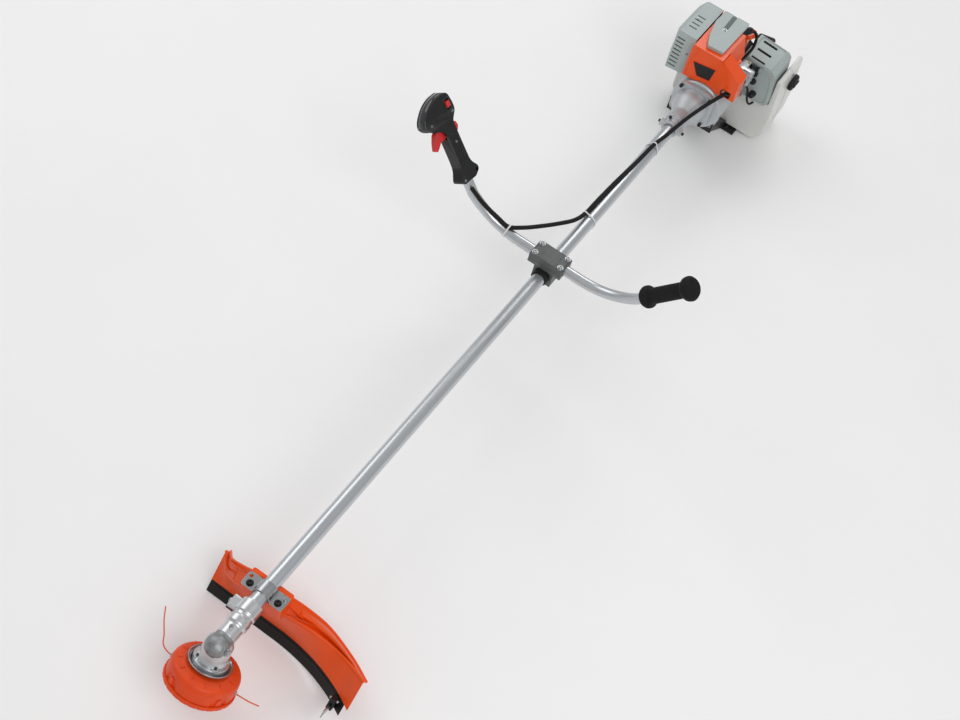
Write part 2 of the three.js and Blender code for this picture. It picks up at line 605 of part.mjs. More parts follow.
function addFoot() {
  const base = box([-87, FOOT_Y - 19, GROUND], [87, FOOT_Y + 19, GROUND + 7]);
  const legs = [-58, 42].map((x) => side([[-762.5, -152], [-775.4, -152], [-775.4, -138],
    [-704, -86], [-676, -50], [-648, -50], [-648, -74], [-690, -102]], x, x + 16));
  const hanger = box([-58, -686, -78], [58, -646, -44]);
  add('support_foot', 'black', cut(join(base, ...legs, hanger),
    fanDisc(FAN_RADIUS + GAP, -710, -600)));
}

addDriveLine();
addGearbox();
addHead();
addLines();
addGuard();
addHandlebar();
addThrottleHandle();
addThrottleCable();
addClutch();
addCrankTrain();
addCylinder();
addShroud();
addIntake();
addTankAndStarter();
addFoot();

export default machine;
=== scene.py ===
import json
from math import cos, pi, radians, sin, sqrt

import bmesh
import bpy
from mathutils import Matrix, Vector
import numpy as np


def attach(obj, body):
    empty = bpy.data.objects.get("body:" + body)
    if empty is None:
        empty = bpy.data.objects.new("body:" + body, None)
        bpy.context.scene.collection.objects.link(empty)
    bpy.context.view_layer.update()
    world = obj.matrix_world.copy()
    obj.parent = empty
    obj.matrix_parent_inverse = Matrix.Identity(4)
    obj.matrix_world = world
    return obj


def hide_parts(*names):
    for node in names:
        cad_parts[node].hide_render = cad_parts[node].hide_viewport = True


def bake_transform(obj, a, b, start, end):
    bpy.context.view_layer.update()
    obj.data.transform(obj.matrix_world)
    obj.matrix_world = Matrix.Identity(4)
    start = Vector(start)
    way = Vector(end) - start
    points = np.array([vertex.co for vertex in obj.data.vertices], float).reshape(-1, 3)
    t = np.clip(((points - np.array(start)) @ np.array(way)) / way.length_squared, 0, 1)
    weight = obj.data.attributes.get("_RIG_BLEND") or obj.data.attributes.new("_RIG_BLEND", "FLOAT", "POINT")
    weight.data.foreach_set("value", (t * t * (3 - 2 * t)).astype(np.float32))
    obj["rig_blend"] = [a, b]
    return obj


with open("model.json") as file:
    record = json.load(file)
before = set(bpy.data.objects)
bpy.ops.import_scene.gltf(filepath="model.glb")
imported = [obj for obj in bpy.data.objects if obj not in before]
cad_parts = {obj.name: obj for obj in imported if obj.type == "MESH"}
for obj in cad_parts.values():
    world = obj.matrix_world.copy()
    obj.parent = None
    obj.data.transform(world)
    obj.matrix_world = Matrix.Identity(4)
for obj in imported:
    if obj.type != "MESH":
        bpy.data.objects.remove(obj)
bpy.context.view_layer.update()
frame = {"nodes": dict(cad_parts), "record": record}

# ---------- frames: millimetres on the drive tube's axis, on the spindle and on each arm ----------
FOOT_Y, AXIS_HEIGHT, HEAD_Y, HEAD_TILT = -781, 156, 989, 34
SHAFT = Matrix.Translation((0, -FOOT_Y / 1000, AXIS_HEIGHT / 1000)) @ Matrix.Scale(0.001, 4)
HEAD = SHAFT @ Matrix.Translation((0, HEAD_Y, 0)) @ Matrix.Rotation(radians(HEAD_TILT), 4, "X")
ARM_BASE, ARM_RISE = (206.5, 6, 104.5), Vector((60.2, 0, 79.9)).normalized()


def moved(x, y, z, space=SHAFT):
    return space @ Matrix.Translation((x, y, z))


def arm(side):
    rise = Vector((side * ARM_RISE.x, 0, ARM_RISE.z))
    front = Vector((0, 1, 0))
    basis = Matrix((front.cross(rise), front, rise)).transposed().to_4x4()
    return moved(side * ARM_BASE[0], ARM_BASE[1], ARM_BASE[2]) @ basis


RIGHT_ARM, LEFT_ARM = arm(1), arm(-1)
BODY_OF = {node: body for body, nodes in frame["record"]["behaviour"]["bodies"].items() for node in nodes}
BLENDED = "blended"
WELD = 2e-6


# ---------- materials ----------
RELIEF_DEPTH, COAT_ROUGHNESS, SCATTER = 0.0006, 0.12, 0.02


def linear(*rgb):
    return [((c / 255 + 0.055) / 1.055) ** 2.4 if c > 10 else c / 255 / 12.92 for c in rgb]


def material(name, rgb, rough, metal=0.0, grain=900, bump=0.08, mottle=0.06, patch=28, spread=0.08,
             stretch=(1, 1, 1), wear=0.0, coat=0.0, subsurface=0.0, specular=0.5, cells=False):
    """Moulded, cast or drawn surface: fine grain in the bump, slow mottling in colour and gloss."""
    mat = bpy.data.materials.new(name)
    mat.use_nodes = True
    tree = mat.node_tree

    def feed(target, values):
        for key, value in values.items():
            if isinstance(value, bpy.types.NodeSocket):
                tree.links.new(value, target.inputs[key])
            else:
                target.inputs[key].default_value = value
        return target

    def node(kind, output, values):
        return feed(tree.nodes.new("ShaderNode" + kind), values).outputs[output]

    place = node("Mapping", "Vector", {"Vector": node("TexCoord", "Object", {}), "Scale": stretch})
    if cells:
        fine = node("TexVoronoi", "Distance", {"Vector": place, "Scale": grain})
    else:
        fine = node("TexNoise", "Fac", {"Vector": place, "Scale": grain, "Detail": 4})
    slow = node("TexNoise", "Fac", {"Vector": place, "Scale": patch, "Detail": 5, "Roughness": 0.6})
    base = linear(*rgb)
    out = node("ValToRGB", "Color", {"Fac": slow})
    low, high = out.node.color_ramp.elements
    low.position, high.position = 0.3, 0.7
    low.color = [c * (1 - mottle) for c in base] + [1]
    high.color = [min(1, c * (1 + mottle) + 0.01 * mottle) for c in base] + [1]
    if wear:
        sharp = node("NewGeometry", "Pointiness", {})
        edge = node("MapRange", "Result", {"Value": sharp, "From Min": 0.52, "From Max": 0.62})
        broken = node("Math", "Value", {0: edge, 1: slow})
        broken.node.operation = "MULTIPLY"
        worn = tree.nodes.new("ShaderNodeMix")
        worn.data_type = "RGBA"
        bare = [min(1, c * (1 + wear) + 0.12 * wear) for c in base] + [1]
        out = feed(worn, {"Factor": broken, "A": out, "B": bare}).outputs["Result"]
    gloss = node("MapRange", "Result", {"Value": slow, "To Min": max(0.03, rough - spread),
                                        "To Max": min(1, rough + spread)})
    relief = node("Bump", "Normal", {"Strength": bump, "Distance": RELIEF_DEPTH, "Height": fine})
    shader = feed(tree.nodes["Principled BSDF"], {
        "Base Color": out, "Roughness": gloss, "Normal": relief, "Metallic": metal, "Coat Weight": coat,
        "Coat Roughness": COAT_ROUGHNESS, "Specular IOR Level": specular})
    if subsurface:
        feed(shader, {"Subsurface Weight": subsurface, "Subsurface Radius": [SCATTER] * 3,
                      "Subsurface Scale": 1.0})
    return mat


TUBE = material("drawn_aluminium", (196, 200, 204), 0.3, 0.9, 260, 0.06, 0.03, 18, 0.05,
    (60, 1.2, 60))
BAR = material("anodised_bar", (196, 200, 204), 0.3, 0.9, 700, 0.03, 0.04, 60, 0.05)
POLISHED = material("polished_casting", (206, 208, 210), 0.34, 1.0, 500, 0.02, 0.05, 60, 0.06,
    wear=0.1)
ROUGH_CAST = material("rough_casting", (150, 152, 153), 0.5, 0.85, 260, 1.0, 0.3, 110, 0.15,
    wear=0.4)
CAST = material("blasted_casting", (190, 194, 197), 0.52, 0.75, 900, 0.1, 0.05, 45, 0.08,
    wear=0.2)
DARK_CAST = material("dark_casting", (92, 95, 94), 0.46, 0.5, 650, 0.22, 0.12, 90, 0.1, wear=0.5)
STEEL = material("zinc_steel", (172, 175, 177), 0.28, 1.0, 700, 0.02, 0.06, 80, 0.06, wear=0.1)
DARK_STEEL = material("blackened_steel", (52, 52, 52), 0.42, 0.9, 500, 0.08, 0.12, 90, 0.08, wear=0.4)
ORANGE = material("glossy_orange", (238, 80, 4), 0.3, 0.0, 1400, 0.02, 0.05, 16, 0.05, coat=0.3,
    wear=0.08, specular=0.3)
GUARD_ORANGE = material("guard_orange", (232, 80, 6), 0.4, 0.0, 1100, 0.06, 0.08, 14, 0.08,
    wear=0.15, specular=0.3)
HEAD_ORANGE = material("head_orange", (226, 72, 20), 0.42, 0.0, 1000, 0.07, 0.08, 40, 0.08,
    wear=0.15, specular=0.3)
GREY = material("pale_grey_nylon", (164, 175, 173), 0.44, 0.0, 800, 0.12, 0.05, 30, 0.08,
    wear=0.15)
GREY_GROOVE = material("grey_groove", (108, 118, 118), 0.5, 0.0, 700, 0.15, 0.08, 40, 0.08)
BLACK = material("black_nylon", (20, 21, 22), 0.45, 0.0, 900, 0.12, 0.15, 60, 0.1, wear=0.4,
    specular=0.3)
GLOSS_BLACK = material("gloss_black", (26, 28, 33), 0.16, 0.0, 1200, 0.02, 0.1, 30, 0.05,
    coat=0.7)
PANEL = material("panel_black", (32, 30, 30), 0.4, 0.0, 1600, 0.06, 0.1, 60, 0.08,
    specular=0.3)
RUBBER = material("black_rubber", (15, 15, 16), 0.7, 0.0, 800, 0.25, 0.18, 70, 0.12, wear=0.4,
    specular=0.25)
SKIRT = material("skirt_rubber", (21, 18, 17), 0.5, 0.0, 700, 0.2, 0.15, 30, 0.1, wear=0.4,
    specular=0.3)
RED = material("red_nylon", (206, 36, 36), 0.4, 0.0, 900, 0.08, 0.08, 70, 0.08, wear=0.2)
TANK = material("translucent_tank", (216, 217, 213), 0.36, 0.0, 600, 0.07, 0.035, 22, 0.08,
    subsurface=0.3)
LINE = material("nylon_line", (214, 80, 50), 0.35, 0.0, 1500, 0.03, 0.06, 200, 0.06, subsurface=0.2)
FOAM = material("foam", (60, 60, 56), 0.95, 0.0, 420, 1.0, 0.3, 90, 0.04, cells=True)
BRASS = material("passivated_brass", (186, 158, 84), 0.34, 0.95, 600, 0.08, 0.12, 120, 0.1, wear=0.2)
WHITE = material("white_nylon", (222, 223, 222), 0.4, 0.0, 900, 0.08, 0.04, 90, 0.08, wear=0.1)
# Near-black matt material for sheets laid into slots, gaps and vents as painted shade.
PAINTED_SHADE = material("painted_shade_recess", (10, 10, 11), 0.7, 0.0, 500, 0.2, 0.2, 60, 0.1, specular=0.2)


# ---------- shapes ----------
def rewrite(mesh, source, *steps):
    """Writes a mesh from another one after some bmesh steps."""
    bm = bmesh.new()
    bm.from_mesh(source)
    for step in steps:
        step(bm)
    bm.to_mesh(mesh)
    bm.free()


def weld(bm):
    bmesh.ops.remove_doubles(bm, verts=bm.verts, dist=WELD)


def turn_out(bm):
    bmesh.ops.recalc_face_normals(bm, faces=bm.faces)


def add_object(name, data):
    item = bpy.data.objects.new(name, data)
    bpy.context.scene.collection.objects.link(item)
    return item


def finish_piece(name, mesh, mat, node=None, bevel=0.0, segments=2, angle=32, body=None):
    """Bevels and shades a mesh and hangs it on its body: that of the CAD node it replaces, or else the root."""
    rewrite(mesh, mesh, weld, lambda bm: bmesh.ops.dissolve_degenerate(bm, edges=bm.edges, dist=WELD), turn_out)
    piece = add_object(name, mesh)
    mesh.materials.clear()
    mesh.materials.append(mat)
    for face in mesh.polygons:
        face.use_smooth = True
    if bevel:
        edge = piece.modifiers.new("edges", "BEVEL")
        edge.width = bevel / 1000
        edge.segments = segments
        edge.limit_method = "ANGLE"
        edge.angle_limit = radians(angle)
        edge.use_clamp_overlap = True
        edge.miter_outer = "MITER_ARC"
        piece.modifiers.new("shade", "WEIGHTED_NORMAL").keep_sharp = True
    else:
        mesh.set_sharp_from_angle(angle=radians(angle))
    if node:
        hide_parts(node)
    if body != BLENDED:
        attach(piece, body or BODY_OF.get(node, "root"))
    return piece


def refine(node, mat, bevel=0.8, segments=2, angle=32):
    """A finished copy of a CAD node: rounded edges and its material."""
    source = frame["nodes"][node]
    mesh = bpy.data.meshes.new(node + "_skin")
    rewrite(mesh, source.data, lambda bm: bm.transform(source.matrix_world), weld)
    for key in list(mesh.attributes.keys()):
        if key.startswith("custom_normal"):
            mesh.attributes.remove(mesh.attributes[key])
    return finish_piece(node + "_skin", mesh, mat, node, bevel, segments, angle)


def rect(x0, y0, x1, y1):
    return [(x0, y0), (x1, y0), (x1, y1), (x0, y1)]


def fillet(points, radius, steps=4):
    """Rounds the corners of a closed outline; a point's third number is its own radius."""
    result = []
    for k, point in enumerate(points):
        here = Vector(point[:2])
        size = point[2] if len(point) > 2 else radius
        to_before = Vector(points[k - 1][:2]) - here
        to_after = Vector(points[(k + 1) % len(points)][:2]) - here
        reach = min(size, to_before.length * 0.48, to_after.length * 0.48)
        if reach < 0.02:
            result.append(tuple(here))
            continue
        start, end = here + to_before.normalized() * reach, here + to_after.normalized() * reach
        for j in range(steps + 1):
            t = j / steps
            result.append(tuple(start.lerp(here, t).lerp(here.lerp(end, t), t)))
    return result


def lathe_mesh(outline, axis, turns, change=None):
    """Revolves a closed outline of (radius, along) about an axis."""
    verts, faces, rings = [], [], []
    for radius, along in outline:
        if radius < 1e-6:
            rings.append([len(verts)])
            verts.append((0.0, 0.0, along))
            continue
        rings.append(list(range(len(verts), len(verts) + turns)))
        for k in range(turns):
            angle = 2 * pi * k / turns
            r = change(radius, along, angle) if change else radius
            verts.append((r * cos(angle), r * sin(angle), along))
    for a, b in zip(rings, rings[1:] + rings[:1]):
        if len(a) == 1 and len(b) == 1:
            continue
        for k in range(turns):
            j = (k + 1) % turns
            corners = [a[k % len(a)], a[j % len(a)], b[j % len(b)], b[k % len(b)]]
            faces.append(list(dict.fromkeys(corners)))
    if axis == "Y":
        verts = [(x, z, y) for x, y, z in verts]
    if axis == "X":
        verts = [(z, x, y) for x, y, z in verts]
    return verts, faces


def extrude(outline, low, high, plane="XY"):
    """Prism from an outline of pairs in a plane, between two distances along its normal."""
    order = {"XY": lambda a, b, c: (a, b, c), "XZ": lambda a, b, c: (a, c, b),
             "YZ": lambda a, b, c: (c, a, b)}[plane]
    count = len(outline)
    verts = [order(p[0], p[1], c) for c in (low, high) for p in outline]
    faces = [list(range(count)), list(range(count, 2 * count))[::-1]]
    faces += [[k, (k + 1) % count, (k + 1) % count + count, k + count] for k in range(count)]
    return verts, faces


def block(low, high):
    """Box between two opposite corners."""
    return extrude(rect(*low[:2], *high[:2]), low[2], high[2])


def catmull(points, steps):
    """Centripetal Catmull-Rom through the points."""
    pts = [Vector(p) for p in points]
    pts = [pts[0] * 2 - pts[1]] + pts + [pts[-1] * 2 - pts[-2]]
    result = []
    for i in range(1, len(pts) - 2):
        quad = pts[i - 1:i + 3]
        knots = [0.0]
        for a, b in zip(quad, quad[1:]):
            knots.append(knots[-1] + max((b - a).length, 1e-6) ** 0.5)
        last = i == len(pts) - 3
        for j in range(steps + last):
            t = knots[1] + (knots[2] - knots[1]) * j / steps
            near = [quad[k].lerp(quad[k + 1], (t - knots[k]) / (knots[k + 1] - knots[k])) for k in range(3)]
            far = [near[k].lerp(near[k + 1], (t - knots[k]) / (knots[k + 2] - knots[k])) for k in range(2)]
            result.append(far[0].lerp(far[1], (t - knots[1]) / (knots[2] - knots[1])))
    return result


def loft(rings, closed=False):
    """Skin over equal rings of points, capped at both ends or closed on itself."""
    sides, count, faces = len(rings[0]), len(rings), []
    for k in range(count if closed else count - 1):
        a, b = k * sides, (k + 1) % count * sides
        faces += [[a + j, a + (j + 1) % sides, b + (j + 1) % sides, b + j] for j in range(sides)]
    if not closed:
        faces += [list(range(sides))[::-1], [(count - 1) * sides + j for j in range(sides)]]
    return [point for ring in rings for point in ring], faces


def tube_mesh(points, radius, sides, closed=False):
    """Round tube on a line of points; radius is a number or a function of the distance run."""
    pts = [Vector(p) for p in points]
    last = len(pts) - 1
    side, run, rings = None, 0.0, []
    for k, point in enumerate(pts):
        after = pts[(k + 1) % (last + 1)] if closed else pts[min(k + 1, last)]
        before = pts[k - 1] if closed else pts[max(k - 1, 0)]
        tangent = (after - before).normalized()
        if k:
            run += (point - pts[k - 1]).length
        else:
            side = tangent.orthogonal().normalized()
        side = (side - tangent * side.dot(tangent)).normalized()
        up = tangent.cross(side)
        r = radius(run) if callable(radius) else radius
        turns = [2 * pi * j / sides for j in range(sides)]
        rings.append([point + side * r * cos(a) + up * r * sin(a) for a in turns])
    return loft(rings, closed)


def join(parts, space=SHAFT):
    """One shell from several, each in its own space or in the one given."""
    verts, faces = [], []
    for part_verts, part_faces, *own in parts:
        start = len(verts)
        verts += [(own[0] if own else space) @ Vector(v) for v in part_verts]
        faces += [[start + k for k in face] for face in part_faces]
    return verts, faces


def mesh_from(name, parts, space):
    verts, faces = join(parts, space)
    mesh = bpy.data.meshes.new(name)
    mesh.from_pydata(verts, [], faces)
    return mesh


def gather(name, parts, mat, node=None, bevel=0.0, segments=2, angle=32, space=SHAFT, body=None):
    """One piece from several shells."""
    return finish_piece(name, mesh_from(name, parts, space), mat, node, bevel, segments, angle, body)


def lathe(name, outline, mat, node=None, space=SHAFT, axis="Z", turns=64, change=None, angle=32, body=None):
    return gather(name, [lathe_mesh(outline, axis, turns, change)], mat, node, 0, 2, angle, space, body)


def prism(name, outline, low, high, mat, node=None, plane="XY", bevel=0.8, segments=2, angle=32, space=SHAFT,
          body=None):
    return gather(name, [extrude(outline, low, high, plane)], mat, node, bevel, segments, angle, space, body)


def tube(name, points, radius, mat, sides=24, node=None, closed=False, angle=50, space=SHAFT, body=None):
    return gather(name, [tube_mesh(points, radius, sides, closed)], mat, node, 0, 2, angle, space, body)


def facing(at, direction, space=SHAFT):
    """Frame at a point with its Z along a direction."""
    return moved(*at, space) @ Vector(direction).to_track_quat("Z", "Y").to_matrix().to_4x4()


def around(shell, count, first=0, space=HEAD, axis="Z"):
    """Equal copies of a shell round an axis, the first one turned by some degrees."""
    return [(*shell, space @ Matrix.Rotation(radians(first + 360 / count * k), 4, axis)) for k in range(count)]


def socket_screw(radius, height, washer):
    outline = [(0, height - 2.4), (radius * 0.48, height - 2.4), (radius * 0.5, height - 0.3),
               (radius * 0.58, height), (radius * 0.86, height), (radius, height - 0.7), (radius, washer)]
    if washer:
        outline += [(radius * 1.45, washer), (radius * 1.5, washer - 0.3), (radius * 1.5, 0), (0, 0)]
    else:
        outline += [(radius, 0), (0, 0)]
    return lathe_mesh(outline, "Z", 24)


def hex_bolt(radius, height, washer):
    nut = [(0, height), (radius * 0.9, height), (radius, height - 0.6), (radius, washer), (0, washer)]
    ring = [(0, washer), (radius * 1.35, washer), (radius * 1.4, 0), (0, 0)]
    return join([lathe_mesh(nut, "Z", 6), lathe_mesh(ring, "Z", 28)], Matrix())


def screws(name, places, mat, size, space=SHAFT, kind=socket_screw, body=None):
    """Screws of one size (radius, height, washer), each given as (point, direction of its head)."""
    shape = kind(*size)
    return gather(name, [(*shape, facing(at, way, space)) for at, way in places], mat, angle=28, body=body)


def carve(piece, cutters, space=SHAFT):
    """Takes closed shells away from a piece before its edges are rounded."""
    mesh = piece.data
    for cutter in cutters:
        tool = add_object("tool", mesh_from("tool", [cutter], space))
        rewrite(tool.data, tool.data, turn_out)
        host = add_object("host", mesh.copy())
        step = host.modifiers.new("cut", "BOOLEAN")
        step.object = tool
        step.operation = "DIFFERENCE"
        step.solver = "EXACT"
        bpy.context.view_layer.update()
        cut = host.evaluated_get(bpy.context.evaluated_depsgraph_get())
        rewrite(mesh, bpy.data.meshes.new_from_object(cut))
        for item in (tool, host):
            bpy.data.objects.remove(item)
    for face in mesh.polygons:
        face.use_smooth = True
        face.material_index = 0


# ---------- camera, floor and light first, then the cords ----------
def add_camera():
    camera = add_object("camera", bpy.data.cameras.new("camera"))
    camera.data.lens = 51.5
    camera.data.sensor_width = 36
    camera.data.clip_end = 20
    right = Vector((-0.816, -0.551, 0.176)).normalized()
    back = Vector((-0.188, 0.541, 0.820))
    back = (back - right * back.dot(right)).normalized()
    turn = Matrix((right, back.cross(right), back)).transposed().to_4x4()
    camera.matrix_world = Matrix.Translation((-0.502, 1.655 - FOOT_Y / 1000, 2.264)) @ turn
    bpy.context.scene.camera = camera


def add_stage():
    floor = bpy.data.meshes.new("floor")
    floor.from_pydata([(x, y, 0) for x, y in rect(-9, -9, 9, 9)], [], [(0, 1, 2, 3)])
    floor.materials.append(material("pale_floor", (246, 246, 246), 0.75, 0.0, 60, 0.02, 0.01, 3, 0.05))
    add_object("floor", floor)
    world = bpy.data.worlds.new("studio")
    world.use_nodes = True
    sky = world.node_tree.nodes["Background"].inputs
    sky["Color"].default_value = (1, 1, 1, 1)
    sky["Strength"].default_value = 0.5
    bpy.context.scene.world = world
    for name, spot, size, power in (("key", (-2.2, 2.6, 3.4), 2.4, 58), ("fill", (2.6, 0.4, 2.6), 2.2, 26),
                                    ("rear", (0.6, -2.4, 2.8), 1.8, 26)):
        light = bpy.data.lights.new(name, "AREA")
        light.size = size
        light.energy = power
        lamp = add_object(name, light)
        lamp.location = spot
        lamp.rotation_euler = (Vector((0, 0.9, 0.15)) - Vector(spot)).to_track_quat("-Z", "Y").to_euler()
    bpy.context.scene.view_settings.view_transform = "Standard"


def head_point(x, behind, up):
    return SHAFT.inverted() @ (HEAD @ Vector((x, -behind, up)))


LINE_RADIUS = 0.0012
LINE_ROUTES = {"line_a": [(55, -8, -68), (66, -9.5, -68), (82, -2, -68), (97, 20, -68), (119, 50, -68),
    (136, 78, -68)], "line_b": [(-55, 8, -68), (-66, 10, -68), (-84, 13, -68), (-101, 19, -68)]}


def add_lines():
    for name, route in LINE_ROUTES.items():
        path = catmull([HEAD @ Vector((x, -behind, up)) for x, behind, up in route], 8)
        piece = tube(name + "_nylon", path, LINE_RADIUS, LINE, 12, name, angle=60, space=Matrix())


# ---------- drive tube, gearbox and head ----------
def add_tube():
    lathe("drive_tube_skin", rect(12.5, -545, 14, 955), TUBE, "drive_tube", axis="Y", turns=72)


def add_gearbox():
    collar = fillet([(14.35, 905), (20, 905), (20, 928), (18.4, 930), (18.4, 936), (20, 938), (20, 950),
        (17.6, 954), (17.6, 976), (14.35, 976)], 1.2, 3)
    parts = [lathe_mesh(collar, "Y", 64)]
    neck = fillet([(0, -34), (26, -34), (26.5, -30), (24.4, -24), (24.4, 1), (21, 6), (0, 6)], 2.5, 4)
    parts.append((*lathe_mesh(neck, "Z", 72), HEAD))
    flange = fillet(rect(13.4, -40, 31, -33.2), 1.1, 3)
    parts.append((*lathe_mesh(flange, "Z", 72), HEAD))
    parts += around(extrude(fillet(rect(20, -6.5, 31, 6.5), 4.5, 5), -39.5, -30), 4, 45)
    ears = fillet(rect(908, -7.5, 934, 7.5), 5, 5)
    parts.append(extrude(ears, 17, 32.6, "YZ"))
    gather("gearbox_casting", parts, POLISHED, "gearbox_housing", 0.5, angle=40)
    dome = [(20.5 * sin(pi * k / 28), 20.5 * cos(pi * k / 28)) for k in range(29)]

    def pits(r, along, angle):
        return r * (1 + 0.012 * sin(5 * angle + along) + 0.008 * sin(11 * angle - 0.7 * along))

    lathe("gearbox_dome", dome, ROUGH_CAST, space=moved(0, 996, 4), turns=72, change=pits)
    barrel = fillet(rect(0, 974, 17.4, 994), 1, 2)
    lathe("gearbox_barrel", barrel, ROUGH_CAST, axis="Y", turns=56)
    corners = [radians(45 + 90 * k) for k in range(4)]
    places = [((25.5 * cos(a), 25.5 * sin(a), -30), (0, 0, 1)) for a in corners]
    screws("gearbox_flange_screws", places, DARK_STEEL, (2.6, 3, 0), HEAD)
    screws("gearbox_collar_screw", [((32.4, 921, 0), (1, 0, 0))], STEEL, (4.0, 4, 0))
    screws("gearbox_top_screw", [((0, 962, 17.2), (0, 0, 1))], STEEL, (3.6, 4, 0))
    screws("gearbox_grease_plug", [((-20, 996, 6), (-1, 0, 0.1))], STEEL, (5.2, 5, 1.2), kind=hex_bolt)
    # A near-black block fills the collar's split as painted shade.
    gap = block((19.5, 906.5, -0.7), (33.2, 935.5, 0.7))
    gather("gearbox_collar_gap_shade", [gap], PAINTED_SHADE)


def add_cup():
    cup = fillet([(6.35, -42), (30, -42), (36.4, -37), (38.6, -37), (38.6, -39.6), (32, -45.6), (6.35, -45.6)],
        0.7, 3)
    lathe("thrust_cup_skin", cup, STEEL, "thrust_cup", HEAD, turns=96)
    washer = fillet([(15, -42.2), (29, -42.2), (29, -40.9), (25, -40.6), (15, -40.6)], 0.4, 2)
    lathe("thrust_washer", washer, POLISHED, space=HEAD, turns=80, body="head")


WINDOW_PHASE = 62


def window_depth(angle, count, phase, wide, narrow):
    """1 inside a window sector, 0 outside, with a steep side."""
    step = 2 * pi / count
    offset = abs((angle - phase + step / 2) % step - step / 2)
    if offset < narrow:
        return 1.0
    if offset > wide:
        return 0.0
    return (wide - offset) / (wide - narrow)


def densify(outline, step, reach):
    """Splits the long sides of an outline that lie outside a radius."""
    dense = []
    for (r0, z0), (r1, z1) in zip(outline, outline[1:] + outline[:1]):
        pieces = max(1, int(abs(z1 - z0) / step)) if min(r0, r1) > reach else 1
        dense += [(r0 + (r1 - r0) * k / pieces, z0 + (z1 - z0) * k / pieces) for k in range(pieces)]
    return dense


def add_head():
    shell = fillet([(6.35, -46), (40, -46, 0.6), (42, -46.8, 0.6), (54, -48.3, 3), (58.4, -52, 4), (60, -60, 3),
        (60, -79.6, 0.8), (57, -79.6, 0.8), (57, -61, 3), (53, -51.6, 3), (40, -49.5), (12, -49.5), (12, -66),
        (6.35, -66)], 1.0, 4)

    def windows(radius, along, angle):
        if radius < 59.2 or along > -62.5:
            return radius
        low = min(1, (-62.5 - along) / 1.6)
        taper = radians(11 + (-62.5 - along) * 0.28)
        return radius - 2.4 * low * window_depth(angle, 4, radians(WINDOW_PHASE), taper, taper - 0.035)

    lathe("head_cover_skin", densify(shell, 1.6, 55), HEAD_ORANGE, "head_cover", HEAD, turns=288,
        change=windows)
    base = fillet([(55.5, -80.2), (62.5, -80.2), (62.5, -86.6, 1.6), (56, -92.6, 3), (31, -95.2, 0.8),
        (31, -92, 0.8), (51, -89.4, 2), (55.5, -85.5, 1.5)], 0.9, 4)

    def grips(radius, along, angle):
        if radius < 56:
            return radius
        return radius - 0.9 * window_depth(angle, 24, 0, radians(2.2), radians(1.2))

    lathe("head_base_skin", base, HEAD_ORANGE, "head_base", HEAD, turns=288, change=grips)
    tab = fillet([(-5.5, -79), (5.5, -79), (3.6, -66.5), (-3.6, -66.5)], 1.2, 3)
    gather("head_latches", around(extrude(tab, 57.2, 59.7, "YZ"), 4, WINDOW_PHASE), HEAD_ORANGE, bevel=0.4,
        body="head")
    rib = rect(-0.9, -46.2, 0.9, -45.7)
    gather("head_top_ribs", around(extrude(rib, 43, 53, "YZ"), 12), HEAD_ORANGE, bevel=0.15, segments=1,
        body="head")
    eyelet = lathe_mesh(fillet(rect(1.7, 0, 4.2, 2.4), 0.8, 3), "Z", 28)
    eyelets = [(*eyelet, facing((s * 58.6, s * 9, -68), (s, s * 0.15, 0), HEAD)) for s in (1, -1)]
    gather("head_eyelets", eyelets, STEEL, body="head")
    knob = fillet([(0, -110, 0), (14, -110, 3), (24, -107, 4), (28, -100, 3), (28, -91.4, 0.3),
        (33, -91.2, 0.4), (33, -88.6, 0.4), (0, -88.6, 0)], 1, 5)

    def lobes(radius, along, angle):
        return radius * (1 - 0.05 * abs(sin(4 * angle)) ** 6) if along < -94 else radius

    lathe("bump_knob_skin", knob, BLACK, "bump_knob", HEAD, turns=120, change=lobes)


# ---------- guard ----------
GUARD_RIGHT, GUARD_LEFT, SKIRT_END, SKIRT_BEHIND, SKIRT_CURVE = 118, -214, -204, 176, 280
GUARD_CREST = [(GUARD_RIGHT, 176, 24), (96, 160, 4), (60, 122, 22), (30, 104, 39), (-20, 104, 39),
    (-88, 136, 24), (-140, 150, 12), (-176, 134, 17), (GUARD_LEFT, 106, 26)]
GUARD_REAR = [(GUARD_RIGHT, 200, 12), (92, 150, 36), (60, 128, 54), (30, 112, 70), (-20, 112, 70),
    (-64, 146, 48), (-106, 182, 18), (-170, 162, 10), (GUARD_LEFT, 132, 10)]
ROOF_WALLS = [((0.05, 0.15), (0.2, 0.5), 7), ((0.52, 0.05), (0.72, 0.5), 15), ((0.5, 0.62), (0.6, 0.3), 13),
    ((0.1, 0.9), (0.26, 0.82), 4)]


def guard_behind(x):
    """How far the skirt is behind the spindle: straight on the right, curved on the left."""
    run = min(0, x + 30)
    return SKIRT_BEHIND - SKIRT_CURVE + sqrt(SKIRT_CURVE ** 2 - run ** 2)


def plate(grid, offset):
    """Closed sheet on rows of points, with a second layer at an offset."""
    rows, count, faces = len(grid) - 1, len(grid[0]), []

    def at(layer, r, k):
        return (layer * (rows + 1) + r) * count + k

    for r in range(rows):
        for k in range(count - 1):
            faces.append([at(0, r, k), at(0, r, k + 1), at(0, r + 1, k + 1), at(0, r + 1, k)])
            faces.append([at(1, r, k), at(1, r + 1, k), at(1, r + 1, k + 1), at(1, r, k + 1)])
    for k in range(count - 1):
        faces.append([at(0, 0, k), at(1, 0, k), at(1, 0, k + 1), at(0, 0, k + 1)])
        faces.append([at(0, rows, k), at(0, rows, k + 1), at(1, rows, k + 1), at(1, rows, k)])
    last = count - 1
    for r in range(rows):
        faces.append([at(0, r, 0), at(0, r + 1, 0), at(1, r + 1, 0), at(1, r, 0)])
        faces.append([at(0, r, last), at(1, r, last), at(1, r + 1, last), at(0, r + 1, last)])
    return [point + offset * layer for layer in (0, 1) for row in grid for point in row], faces


